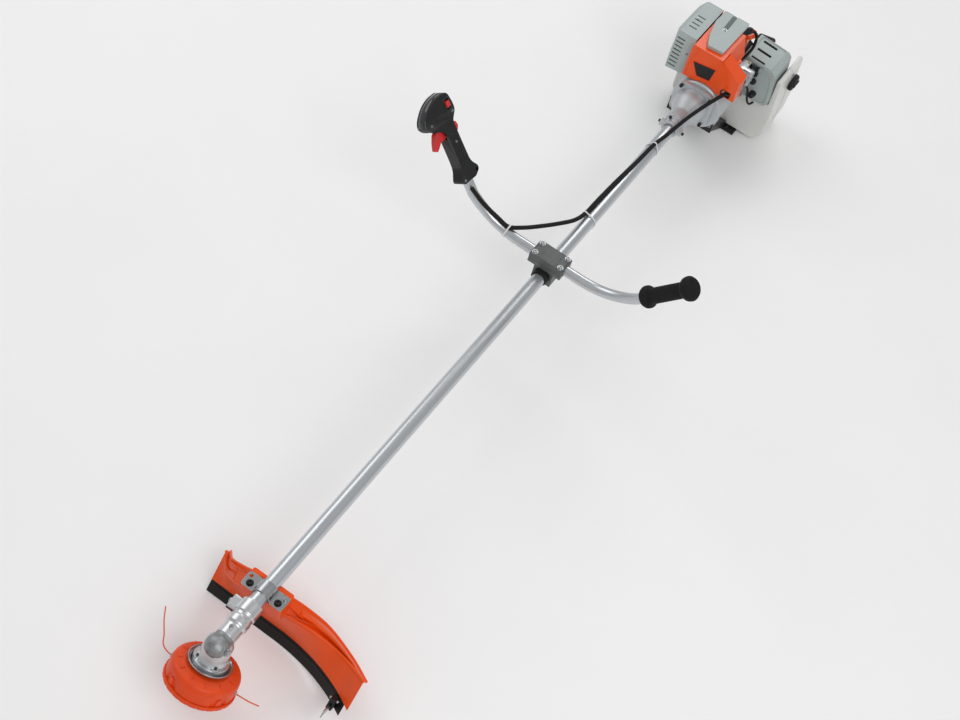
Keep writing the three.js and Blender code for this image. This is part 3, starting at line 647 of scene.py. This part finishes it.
def sheet_between(lower, upper, outward, thickness, rows=8):
    """Plate between two lines of points, as thick as given along a direction."""
    grid = [[low.lerp(high, r / rows) for low, high in zip(lower, upper)] for r in range(rows + 1)]
    return plate(grid, Vector(outward).normalized() * thickness)


def resample(points, count):
    lengths = [0.0]
    for a, b in zip(points, points[1:]):
        lengths.append(lengths[-1] + (b - a).length)
    result = []
    k = 0
    for j in range(count):
        want = lengths[-1] * j / (count - 1)
        while k < len(points) - 2 and lengths[k + 1] < want:
            k += 1
        span = max(lengths[k + 1] - lengths[k], 1e-9)
        result.append(points[k].lerp(points[k + 1], (want - lengths[k]) / span))
    return result


def add_guard():
    count = 97
    crest = resample(catmull([head_point(*p) for p in GUARD_CREST], 16), count)
    rear = resample(catmull([head_point(*p) for p in GUARD_REAR], 16), count)
    stations = [GUARD_RIGHT + (GUARD_LEFT - GUARD_RIGHT) * k / (count - 1) for k in range(count)]
    foot = [head_point(x, guard_behind(x), -40) for x in stations]
    behind = (0, -1, 0)
    under = (0, -0.55, -0.83)
    parts = [sheet_between(foot, crest, behind, 3.2), sheet_between(crest, rear, under, 3.2)]
    ribs, drop = [], Vector((0, -0.4, -1)) * 16
    for fraction in (0.1, 0.2, 0.3, 0.5, 0.6, 0.7, 0.8, 0.9):
        k = int(fraction * (count - 1))
        a, b = crest[k], rear[k]
        ribs.append(sheet_between([a + drop, a], [b + drop, b], (1, 0, 0), 2.4, 1))
    gather("guard_skin", parts, GUARD_ORANGE, "guard", 0.9, 3, 40)
    outline = fillet(rect(-42, 850, 42, 888), 4, 4)
    pad = prism("guard_pad", outline, -34, -3.4, GUARD_ORANGE, bevel=0.9, segments=3)
    groove = lathe_mesh(rect(0, 840, 14.35, 900), "Y", 48)
    carve(pad, [groove])
    gather("guard_ribs", ribs, GUARD_ORANGE, bevel=0.5)
    add_guard_roof(crest, rear)
    lip = [p + Vector((0, -1.4, -0.6)) for p in crest]
    tube("guard_crest_lip", lip, 2.6, GUARD_ORANGE, 14)
    tube("guard_rear_lip", [p + Vector((0, -1.2, -1.6)) for p in rear], 2.4, GUARD_ORANGE, 14)
    skirt_x = [GUARD_RIGHT + (SKIRT_END - GUARD_RIGHT) * k / 80 for k in range(81)]
    low = [head_point(x, guard_behind(x), -66) for x in skirt_x]
    high = [head_point(x, guard_behind(x), -40.35) for x in skirt_x]
    gather("guard_skirt_skin", [sheet_between(low, high, behind, 3.0, 6)], SKIRT, "guard_skirt", 0.7, angle=50)
    beads = [head_point(x, guard_behind(x) - 0.3, -46) for x in skirt_x[2:-2]]
    tube("guard_skirt_bead", beads, 1.1, SKIRT, 10)
    holder = block((-189.5, -131, -66), (-178.5, -113, -44))
    piece = gather("blade_holder", [(*holder, HEAD)], BLACK, bevel=1.2, segments=3)
    carve(piece, [block((-185.4, -128.4, -72), (-182.6, -110, -52))], HEAD)
    refine("line_cutter_blade", STEEL, 0.4)
    screws("blade_holder_screws", [((-178.3, -122, -48), (1, 0, 0)), ((-189.7, -122, -48), (-1, 0, 0))], STEEL,
        (2.6, 3, 0), HEAD)


def add_guard_roof(crest, rear):
    """Moulded walls on top of the roof: one along each pocket and a long raised hump."""
    last = len(crest) - 1

    def on_roof(t, depth, lift=0.0):
        k = t * last
        low = int(min(k, last - 1))
        a = crest[low].lerp(crest[low + 1], k - low)
        b = rear[low].lerp(rear[low + 1], k - low)
        return a.lerp(b, depth) + Vector((0, 0.25, 0.97)) * lift

    walls = []
    steps = [k / 12 for k in range(13)]
    for start, end, height in ROOF_WALLS:
        path = [(start[0] + (end[0] - start[0]) * t, start[1] + (end[1] - start[1]) * t) for t in steps]
        base = [on_roof(t, d, -1) for t, d in path]
        top = [on_roof(t, d, height * sin(pi * (0.12 + 0.76 * k))) for (t, d), k in zip(path, steps)]
        walls.append(sheet_between(base, top, (0.6, 0.6, 0), 2.2, 2))
    gather("guard_roof_walls", walls, GUARD_ORANGE, bevel=0.6, angle=50)

    def hump(across, along):
        swell = sin(pi * across) ** 0.7 * sin(pi * along) ** 0.6
        return on_roof(0.56 + 0.4 * along, 0.28 + 0.62 * across, 22 * swell - 1.2)

    grid = [[hump(r / 14, c / 44) for c in range(45)] for r in range(15)]
    gather("guard_hump", [plate(grid, Vector((0, -0.4, -1.2)))], GUARD_ORANGE, angle=60)


def add_bracket():
    plates = []
    for side in (1, -1):
        outline = fillet(rect(side * 15.5, 860, side * 42, 888), 4, 4)
        plates.append(extrude(outline, -3, 0))
    saddle = fillet(rect(14.35, 862, 17, 886), 0.6, 2)
    plates.append(lathe_mesh(saddle, "Y", 56))
    bracket = gather("guard_bracket_skin", plates, STEEL, "guard_bracket", 0.4, angle=40)
    hole = lathe_mesh(rect(0, -8, 3.2, 6), "Z", 24)
    holes = [(*hole, moved(side * 35, 867.5, 0)) for side in (1, -1)]
    carve(bracket, holes)
    screws("guard_bolts", [((side * 29, 879, 0), (0, 0, 1)) for side in (1, -1)], DARK_STEEL, (4.4, 6, 1.2))
    screws("guard_nuts", [((side * 29, 879, -34), (0, 0, -1)) for side in (1, -1)], STEEL, (5, 4.5, 1.2),
        kind=hex_bolt)


# ---------- handlebar ----------
def arm_point(side, along):
    return Vector((side * (ARM_BASE[0] + ARM_RISE.x * along), ARM_BASE[1], ARM_BASE[2] + ARM_RISE.z * along))


def bar_path():
    def bend(side):
        a, b, c = arm_point(side, -25), Vector((side * 140, -5, 27)), Vector((side * 74, 0, 31))
        return [a.lerp(b, t).lerp(b.lerp(c, t), t) for t in (k / 24 for k in range(25))]

    right, left = bend(1), bend(-1)
    straight = [right[-1].lerp(left[-1], k / 6) for k in range(1, 6)]
    return [arm_point(1, 84)] + right + straight + left[::-1] + [arm_point(-1, 84)]


CABLE_ROUTE = [(193, 15.5, 107.5), (165, 8, 78.5), (131, 1.5, 58), (104, -1, 48.5), (82, -22, 44),
    (59, -52, 40), (34, -92, 33), (18, -131, 22), (13, -166, 14.5), (11.5, -210, 15.2), (8, -280, 17),
    (2, -360, 18.9), (-2, -430, 19.4), (-9, -470, 21), (-15, -505, 25.5), (-24, -540, 36), (-43, -588, 56),
    (-57, -625, 63), (-70, -660, 63), (-72, -684, 67), (-71, -700, 70)]
CABLE_TIES = [("bar_tie", (104, -0.6, 33.2), (104, -1, 48.5), (1, 0, 0.16), 11.9, "handlebar"),
    ("tube_tie", (0, -166, 0), (13, -166, 14.5), (0, 1, 0), 14.9, "root"), ("tube_tie_rear", (0, -430, 0),
    (-2, -430, 19.4), (0, 1, 0), 14.9, "root")]


def add_handlebar():
    tube("handlebar_skin", bar_path(), 11, BAR, 40, "handlebar_tube")
    refine("handlebar_clamp_lower", DARK_CAST, 1.4, 3)
    refine("handlebar_clamp_upper", DARK_CAST, 1.4, 3)
    refine("rubber_sleeve", RUBBER, 0.8, 2)
    places = [((x, y, 46.6), (0, 0, 1)) for x in (29.5, -29.5) for y in (14, -14)]
    screws("clamp_screws", places, STEEL, (4.3, 4.6, 1.1))
    ribs = [extrude(fillet(rect(x - 1.4, -19.6, x + 1.4, 19.6), 0.6, 2), 46.5, 48) for x in (-17, 17)]
    gather("clamp_ribs", ribs, DARK_CAST, bevel=0.5)

    def ripple(radius, along, angle):
        if 15 < along < 94 and radius > 13:
            wave = 0.5 + 0.5 * cos(2 * pi * (along - 15) / 5.2)
            return radius - 0.9 * wave ** 2 + 0.35 * cos(6 * angle)
        return radius

    outline = [(11.35, -4), (19, -4), (22, 1), (22, 8), (16.2, 14)]
    outline = fillet(outline + [(16, 94), (19, 99), (23, 103), (24, 111), (19, 118), (0, 118.01, 0), (0, 86, 0),
        (11.35, 86)], 2.0, 4)
    lathe("left_grip_skin", densify(outline, 0.9, 14), RUBBER, "left_grip", LEFT_ARM, turns=72, change=ripple,
        angle=50)


HANDLE_OUTLINE = [(4, 9.5, 6), (20, 10, 4), (25, 14, 4), (24, 20, 6), (14.5, 36, 12), (12.8, 50, 8),
    (12.8, 112, 8), (16, 124, 6), (28, 133, 8), (46, 141, 8), (56, 155, 8), (50, 168, 8), (30, 183.5, 14),
    (5, 191, 16), (-21, 189, 9), (-27.5, 183, 6), (-31, 165, 10), (-31, 149, 8), (-24, 141, 6), (-15, 133, 6),
    (-15, 100, 10), (-16, 42, 10), (-30, 22, 5), (-28, 14, 5), (-14, 7, 5)]


def add_throttle_handle():
    outline = fillet(HANDLE_OUTLINE, 6, 5)
    body = prism("throttle_grip_skin", outline, -12.8, 12.8, BLACK, "throttle_grip", "YZ", 3.0, 4, 50,
        RIGHT_ARM)
    trigger_slot = extrude([(2, 106), (13, 106), (13, 92), (60, 92), (60, 146), (18, 146), (2, 140)], -6, 6,
        "YZ")
    lock_slot = extrude([(-60, 99), (-3.5, 99), (-3.5, 131), (-60, 136)], -4.5, 4.5, "YZ")
    bore = lathe_mesh(rect(0, -20, 11.35, 86), "Z", 40)
    pocket = block((-20, -23.5, 155.5), (-9.8, -10.5, 177.7))
    lug = lathe_mesh(rect(0, -30, 3.6, 30), "X", 28)
    carve(body, [trigger_slot, lock_slot, bore, pocket, (*lug, moved(0, -23, 18, RIGHT_ARM))], RIGHT_ARM)
    body.modifiers["edges"].width = 0.0024
    band = fillet([(56.2, 156, 2), (50.4, 168.6, 8), (30.4, 184.3, 14), (5, 191.8, 16), (-20.6, 189.8, 8)], 8,
        10)
    band = resample([Vector((0, f, d)) for f, d in band[6:-6]], 60)
    profile = [(-9.6, -1.2), (-9.2, 0.2), (-5.5, 1.2), (0, 1.7), (5.5, 1.2), (9.2, 0.2), (9.6, -1.2), (0, -2.4)]
    rings = []
    for k, point in enumerate(band):
        along = (band[min(k + 1, 59)] - band[max(k - 1, 0)]).normalized()
        out = along.cross(Vector((1, 0, 0)))
        if out.z < 0 and k < 40:
            out = -out
        narrow = 1 - 0.35 * (k / 59) ** 2
        rings.append([point + Vector((a * narrow, 0, 0)) + out * (b - 0.4) for a, b in profile])
    gather("throttle_grip_band", [(*loft(rings), RIGHT_ARM)], GLOSS_BLACK, angle=60, body="handlebar")
    ribs = []
    for start in (40 + k * 7.4 for k in range(7)):
        strip = [(-11.6, start + 8.2), (-10.2, start + 9.3), (8.4, start + 1.1), (7.2, start)]
        for low, high in ((-13.4, -12.4), (12.4, 13.4)):
            ribs.append((*extrude(strip, low, high, "YZ"), RIGHT_ARM))
    gather("throttle_grip_ribs", ribs, BLACK, bevel=0.45, body="handlebar")
    places = [((-12.8, f, d), (-1, 0, 0)) for f, d in ((17, 16.5), (-22, 149), (42, 154), (-1, 94))]
    screws("throttle_grip_screws", places, STEEL, (2.6, 0.9, 0), RIGHT_ARM, body="handlebar")
    refine("throttle_trigger", RED, 1.6, 4)
    refine("trigger_lockout", RED, 1.4, 4)
    refine("stop_switch", RED, 0.9, 3)
    frame_ring = extrude(fillet(rect(-25, 154, -9, 179.2), 1.6, 3), -13.5, -12.2, "YZ")
    bezel = gather("stop_switch_bezel", [(*frame_ring, RIGHT_ARM)], GLOSS_BLACK, bevel=0.3, body="handlebar")
    carve(bezel, [block((-20, -23.2, 155.8), (-10, -10.8, 177.4))], RIGHT_ARM)


def add_cable():
    path = resample(catmull(CABLE_ROUTE, 14), 420)

    def rib(run):
        return 4.15 + 0.45 * (0.5 + 0.5 * cos(2 * pi * run / 4.4))

    piece = tube("throttle_cable_skin", path, rib, RUBBER, 14, "throttle_cable", angle=80, body=BLENDED)
    start = SHAFT @ Vector((104, -1, 48.5))
    end = SHAFT @ Vector((13, -166, 14.5))
    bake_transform(piece, "handlebar", "root", start=tuple(start), end=tuple(end))
    collar = lathe_mesh(fillet([(0, 0), (5.4, 0), (5.4, 9), (4.3, 12), (0, 12)], 0.8, 3), "Z", 28)
    gather("cable_end", [(*collar, facing((-72, -688, 68.2), (0.1, -1, 0.15)))], STEEL)

    def strap(gap, inner, outer, angle):
        """Point of a strap round two circles whose centres are a gap apart."""
        c, s = cos(angle), sin(angle)
        first, second = (inner * c, inner * s), (outer * c + gap, outer * s)
        return first if c * (first[0] - second[0]) + s * (first[1] - second[1]) > 0 else second

    for name, bar, cable, along, r1, body in CABLE_TIES:
        z = Vector(along).normalized()
        x = Vector(cable) - Vector(bar)
        gap = x.length
        x = (x - z * x.dot(z)).normalized()
        y = z.cross(x)
        place = moved(*bar) @ Matrix((x, y, z)).transposed().to_4x4()
        shape = [strap(gap, r1, 5.0, 2 * pi * k / 56) for k in range(56)]
        verts, faces = tube_mesh([(a, b, 0) for a, b in shape], 0.8, 8, closed=True)
        verts = [Vector((v[0], v[1], v[2] * 2.3)) for v in verts]
        lock = block((-r1 - 3.4, -2.3, -2.5), (-r1 + 0.6, 2.3, 2.5))
        tail = block((-r1 - 3.0, -0.6, -1.5), (-r1 - 0.4, 9, 1.5))
        gather(name, [(verts, faces, place), (*lock, place), (*tail, place)], WHITE, bevel=0.25, body=body)


# ---------- engine ----------
def add_clutch_housing():
    bell = fillet([(14.35, -508.5), (19.5, -508.5), (19.5, -514), (18.4, -516), (18.4, -521), (19.5, -523),
        (19.5, -531), (23.4, -533.5), (24, -562, 3), (30, -576, 8), (38, -592, 8), (40, -606, 3), (41, -612.4),
        (35, -612.4), (35, -592), (14.35, -560)], 1.0, 4)
    parts = [lathe_mesh(bell, "Y", 80)]
    square = fillet([(48, 34), (34, 48), (-34, 48), (-48, 34), (-48, -34), (-34, -48), (34, -48), (48, -34)], 9,
        5)
    parts.append(extrude(square, -619.9, -612, "XZ"))
    for side in (1, -1):
        ear = fillet(rect(-528, -6, -511, 6), 4, 4)
        parts.append(extrude(ear, side * 16, side * 27, "YZ"))
    gather("clutch_housing_skin", parts, CAST, "clutch_housing", 0.6, angle=38)
    corners = [((x, -612, z), (0, 1, 0)) for x in (36, -36) for z in (36, -36)]
    screws("clutch_housing_bolts", corners, DARK_STEEL, (4.0, 7, 0))
    screws("tube_clamp_screws", [((27, -519, 0), (1, 0, 0)), ((-27, -519, 0), (-1, 0, 0)), ((10, -524, 17.4),
        (0.5, 0, 1))], DARK_STEEL, (3.4, 5, 0))


def add_fan_housing():
    housing = fillet([(13, -620.4), (57.5, -620.4), (60, -624), (60, -652), (59, -653.5), (59, -656),
        (60, -657.5), (60, -690.4), (55, -690.4), (55, -626.5), (13, -626.5)], 1.2, 3)
    gather("fan_housing_skin", [(*lathe_mesh(housing, "Y", 96), moved(-6, 0, -3))], CAST, "fan_housing", 0.5,
        angle=38)
    bolts, bosses = [], []
    boss = lathe_mesh(fillet(rect(0, 0, 6, 20), 1.2, 3), "Z", 32)
    for angle in (205, 270, 335):
        a = radians(angle)
        spot = (-6 + 57.5 * cos(a), -646, -3 + 57.5 * sin(a))
        bosses.append((*boss, facing(spot, (0, 1, 0))))
        bolts.append(((spot[0], -626, spot[2]), (0, 1, 0)))
    gather("fan_housing_bosses", bosses, CAST)
    screws("fan_housing_bolts", bolts, DARK_STEEL, (3.2, 3, 0))


def add_covers():
    refine("cylinder_shroud", ORANGE, 2.2, 4, 30)
    panel = fillet([(35.9, 97.1), (-16.5, 105.6), (-12.4, 71.7), (17.7, 66.6)], 2.5, 4)
    prism("shroud_panel", panel, -627.2, -626.2, PANEL, plane="XZ", bevel=0.35)
    rim = [(x, -626.6, z) for x, z in fillet([(38, 99.2), (-18.6, 108.4), (-14.2, 69.6), (19, 64.2)], 3, 5)]
    tube("shroud_panel_rim", rim, 0.9, ORANGE, 10, closed=True)
    ridge = [(46, -626.8, 53), (45, -626.8, 92), (40, -626.8, 118), (36, -626.8, 134)]
    tube("shroud_ridge", catmull(ridge, 8), 1.6, ORANGE, 12)
    slot = fillet([(-69, 54.5), (-47, 54.5), (-44, 62), (-47, 71.6), (-69, 71.6)], 3, 3)
    ring = gather("shroud_cable_grommet", [extrude(slot, -631, -626.4, "XZ")], RUBBER, bevel=0.4)
    hole = fillet([(-66.8, 56.4), (-48.6, 56.4), (-46.8, 62), (-48.6, 69.8), (-66.8, 69.8)], 2.5, 3)
    carve(ring, [extrude(hole, -640, -620, "XZ")])
    plan = fillet([(24, -638), (-14, -642), (-16, -766), (44, -764), (47, -720), (36, -670)], 5, 5)
    cover = prism("top_cover_skin", plan, 138.4, 146, GREY, "top_cover", bevel=2.2, segments=4)
    channel = fillet([(12.5, -703), (22.5, -703), (25, -767), (14.5, -767)], 4, 4)
    carve(cover, [extrude(channel, 143.6, 150)])
    prism("top_cover_channel", fillet([(12.9, -703.4), (22.1, -703.4), (24.4, -765.5), (15, -765.5)], 4, 4),
        143.0, 144.2, GREY_GROOVE, bevel=0.2)
    lines = [block((14.6 + k * 2.1, -762, 144.1), (15.3 + k * 2.1, -716, 144.9)) for k in range(4)]
    gather("top_cover_channel_ribs", lines, GREY_GROOVE, bevel=0.15, segments=1)
    screws("top_cover_screw", [((17.6, -708.6, 144.0), (0, 0, 1))], STEEL, (3.4, 3, 0.7))
    tab = fillet([(-10, -768), (-30, -770), (-36, -786), (-30, -802), (-10, -800)], 5, 4)
    prism("shroud_rear_tab", tab, 103, 112, ORANGE, bevel=2.5, segments=4)
    post = fillet([(-11, -770), (-24, -772), (-24, -796), (-11, -794)], 3, 3)
    prism("shroud_rear_post", post, 40, 104, ORANGE, bevel=1.2)
    wing = fillet([(4, -706), (-18, -704), (-40, -696), (-46, -712), (-30, -728), (-8, -736), (4, -730)], 5, 4)
    prism("shroud_side_wing", wing, 84, 92, ORANGE, bevel=2.6, segments=4)


def add_plug():
    boot = fillet([(0, 116.6), (7.4, 116.6), (8.6, 121), (8.6, 129), (6, 133.6), (0, 133.6)], 1.6, 4)
    parts = [(*lathe_mesh(boot, "Z", 40), moved(0, -740, 0))]
    arm_shape = fillet([(0, 0), (8.3, 0), (8.4, 22), (6.6, 24), (6.6, 27), (8.2, 29), (8.2, 40), (5, 46),
        (0, 46)], 1.4, 4)
    parts.append((*lathe_mesh(arm_shape, "Z", 40), facing((0, -740, 125.2), (-0.523, -0.852, -0.02))))
    gather("spark_plug_boot_skin", parts, BLACK, "spark_plug_boot", 0, angle=40)
    lead = catmull([(-24, -779, 124), (-36, -786, 112), (-42, -776, 90), (-40, -752, 78), (-34, -728, 72)], 10)
    tube("ignition_lead", lead, 3.4, RUBBER, 16)


def add_muffler():
    refine("muffler_guard", GREY, 1.4, 3, 30)
    refine("muffler", DARK_STEEL, 1.6, 2)
    screws("muffler_guard_screws", [((107, -690, 74), (1, 0, 0)), ((60, -640, 92), (0, 1, 0)), ((80, -700, 141),
        (0, 0, 1))], STEEL, (3.2, 2, 0))


def add_intake():
    refine("air_filter_cover", GREY, 1.8, 4, 28)
    rim = fillet(rect(-40, -843, -106, -761), 8, 6)
    rise = [(x, y, 73.2 + (x + 34) * (5 / 76) + 0.4) for x, y in rim]
    tube("filter_cover_rim", rise, 1.7, GREY, 12, closed=True)
    side = [(x, -757.6, z) for x, z in ((-66, 56), (-105, 58), (-112, 50), (-121, -18), (-116, -22),
        (-68, -22))]
    tube("filter_cover_front_rim", catmull(side + [side[0]], 8)[:-1], 1.3, GREY, 10, closed=True)
    # Near-black sheets just under the cover's slot openings are painted shade in the slots.
    slots = []
    for y in (-831, -799, -767):
        outline = fillet(rect(-83.6, y - 3.8, -48.4, y + 3.8), 3.8, 5)
        verts, faces = extrude(outline, -2.4, 0)
        verts = [(x, v, 73 + (x + 34) * 5 / 76 - 0.5 + z) for x, v, z in verts]
        slots.append((verts, faces))
    gather("filter_slot_shade", slots, PAINTED_SHADE)
    refine("carburettor", CAST, 1.0, 2)
    screws("carburettor_screws", [((x, y, 70), (0, 0, 1)) for x, y in ((-54, -746), (-40, -746), (-40, -718))],
        BRASS, (2.4, 2.6, 0))
    insulator = block((-35.6, -752, 34), (-33, -712, 74))
    gather("intake_gasket", [insulator], BLACK, bevel=0.4, segments=1)
    refine("throttle_lever", STEEL, 0.5)
    refine("primer_bulb", BLACK, 1.5, 3)
    refine("choke_lever", BLACK, 0.9, 2)
    refine("air_filter_element", FOAM, 2.0, 2)
    stay = fillet([(-88, 52), (-66, 52), (-60, 60), (-60, 66), (-88, 66)], 2, 3)
    prism("choke_bracket", stay, -757.4, -755.4, STEEL, plane="XZ", bevel=0.3)
    knob = lathe_mesh(fillet([(0, 0), (7.5, 0), (7.5, 6), (5.5, 8), (0, 8)], 1.2, 3), "Z", 36)
    gather("filter_knob", [(*knob, facing((-78, -757.6, 22), (0, 1, 0)))], BLACK)
    hose = catmull([(-62, -752, 34), (-64, -746, 16), (-76, -746, 2), (-86, -742, -22), (-92, -752, -38),
        (-96, -770, -44)], 10)
    tube("fuel_hose", hose, 2.6, BLACK, 14)


def add_tank():
    outline = fillet([(-126, -146, 16), (-146, -128, 16), (-146, -60, 10), (-137, 38, 6), (-132, 42, 3),
        (-127, 42, 3), (-125, 36, 2), (-129, -34, 3), (-66, -34, 4), (-60, -58, 6), (92, -58, 10),
        (100, -68, 10), (97, -134, 16), (84, -146, 14)], 8, 6)
    prism("fuel_tank_skin", outline, -890, -776, TANK, "fuel_tank", "XZ", 5.5, 5, 50)
    seam = [(x * 1.004, -833, z * 1.004) for x, z in outline]
    tube("fuel_tank_seam", seam, 0.8, TANK, 8, closed=True)
    neck = lathe_mesh(fillet(rect(10, 136, 13, 146.6), 0.5, 2), "Z", 48)
    gather("fuel_tank_neck", [(*neck, facing((0, -847, 0), (-1, 0, 0)))], TANK)

    def knurl(radius, along, angle):
        return radius - (0.8 * (0.5 + 0.5 * cos(24 * angle)) ** 2 if radius > 18 else 0)

    cap = fillet([(0, -143), (9.6, -143), (9.6, -147.4), (13.4, -147.4), (13.4, -142.7), (20, -142.7),
        (20, -150.6), (16.6, -153.9), (0, -153.9)], 1.0, 4)
    lathe("fuel_cap_skin", cap, BLACK, "fuel_cap", moved(0, -847, 0), "X", 192, knurl)
    bar = fillet(rect(-14, -3, 14, 3), 2.6, 4)
    prism("fuel_cap_bar", bar, -157, -153.4, BLACK, plane="YZ", segments=3, space=moved(0, -847, 0),
        body="fuel_cap")


def add_starter():
    refine("starter_cover", BLACK, 2.0, 3)
    # Near-black slats on the starter cover are painted shade standing in for its vent openings.
    vent = extrude(fillet([(-2, 20), (2, 20), (3, 38), (-3, 38)], 1.2, 2), -850.6, -849.8, "XZ")
    gather("starter_vent_shade", around(vent, 16, 0, SHAFT, "Y"), PAINTED_SHADE)
    hub = lathe_mesh(fillet([(0, -853), (12, -853), (15, -850), (0, -850)], 1, 3), "Y", 48)
    gather("starter_hub", [hub], BLACK)
    bolts = [((49 * cos(a), -842, 49 * sin(a)), (0, -1, 0)) for a in (0.8, 2.3, 3.9, 5.5)]
    screws("starter_bolts", bolts, STEEL, (3.4, 4, 0.8))
    refine("starter_grip", BLACK, 0.6, 1, 60)
    rope = [(-34, -848, 50), (-38, -853, 54), (-46, -860, 58)]
    piece = tube("starter_rope", resample(catmull(rope, 8), 60), 1.7, WHITE, 10, body=BLENDED)
    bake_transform(piece, "root", "starter_grip", start=tuple(SHAFT @ Vector(rope[0])),
        end=tuple(SHAFT @ Vector(rope[-1])))


def add_foot():
    refine("support_foot", BLACK, 1.6, 3, 30)
    places = [((side * 50, -650, -60), (0, 1, 0)) for side in (1, -1)]
    screws("foot_bolts", places, STEEL, (4.2, 5, 1.4))
    ribs = [block((x - 1.5, -798, -149.2), (x + 1.5, -765, -146.8)) for x in (-66, -22, 22, 66)]
    gather("foot_ribs", ribs, BLACK, bevel=0.4, segments=1)


def add_inside():
    for node, mat in (("drive_shaft", STEEL), ("spindle", STEEL), ("pinion_bearing", STEEL), ("bearing_upper",
            STEEL), ("bearing_lower", STEEL), ("bush_rear", BLACK), ("bush_front", BLACK), ("spool", BLACK),
            ("line_winding", LINE), ("crankshaft", STEEL), ("flywheel", CAST), ("clutch_shoe_right", CAST),
            ("clutch_shoe_left", CAST), ("piston", CAST), ("cylinder", CAST), ("crankcase", CAST),
            ("starter_reel", GREY)):
        refine(node, mat, 0.4, 1)


def add_spring():
    coil = [Vector((14.4 * cos(a), 14.4 * sin(a), -87.4 + 20 * a / (8 * pi))) for a in (2 * pi * k / 24
        for k in range(97))]
    spring = tube("feed_spring_skin", coil, 0.8, STEEL, 8, "feed_spring", space=HEAD, body=BLENDED)
    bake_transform(spring, "head", "knob", start=tuple(HEAD @ Vector((0, 0, -69))),
        end=tuple(HEAD @ Vector((0, 0, -86))))


add_camera()
add_stage()
add_lines()
add_tube()
add_gearbox()
add_cup()
add_head()
add_guard()
add_bracket()
add_handlebar()
add_throttle_handle()
add_cable()
add_clutch_housing()
add_fan_housing()
add_covers()
add_plug()
add_muffler()
add_intake()
add_tank()
add_starter()
add_foot()
add_inside()
add_spring()
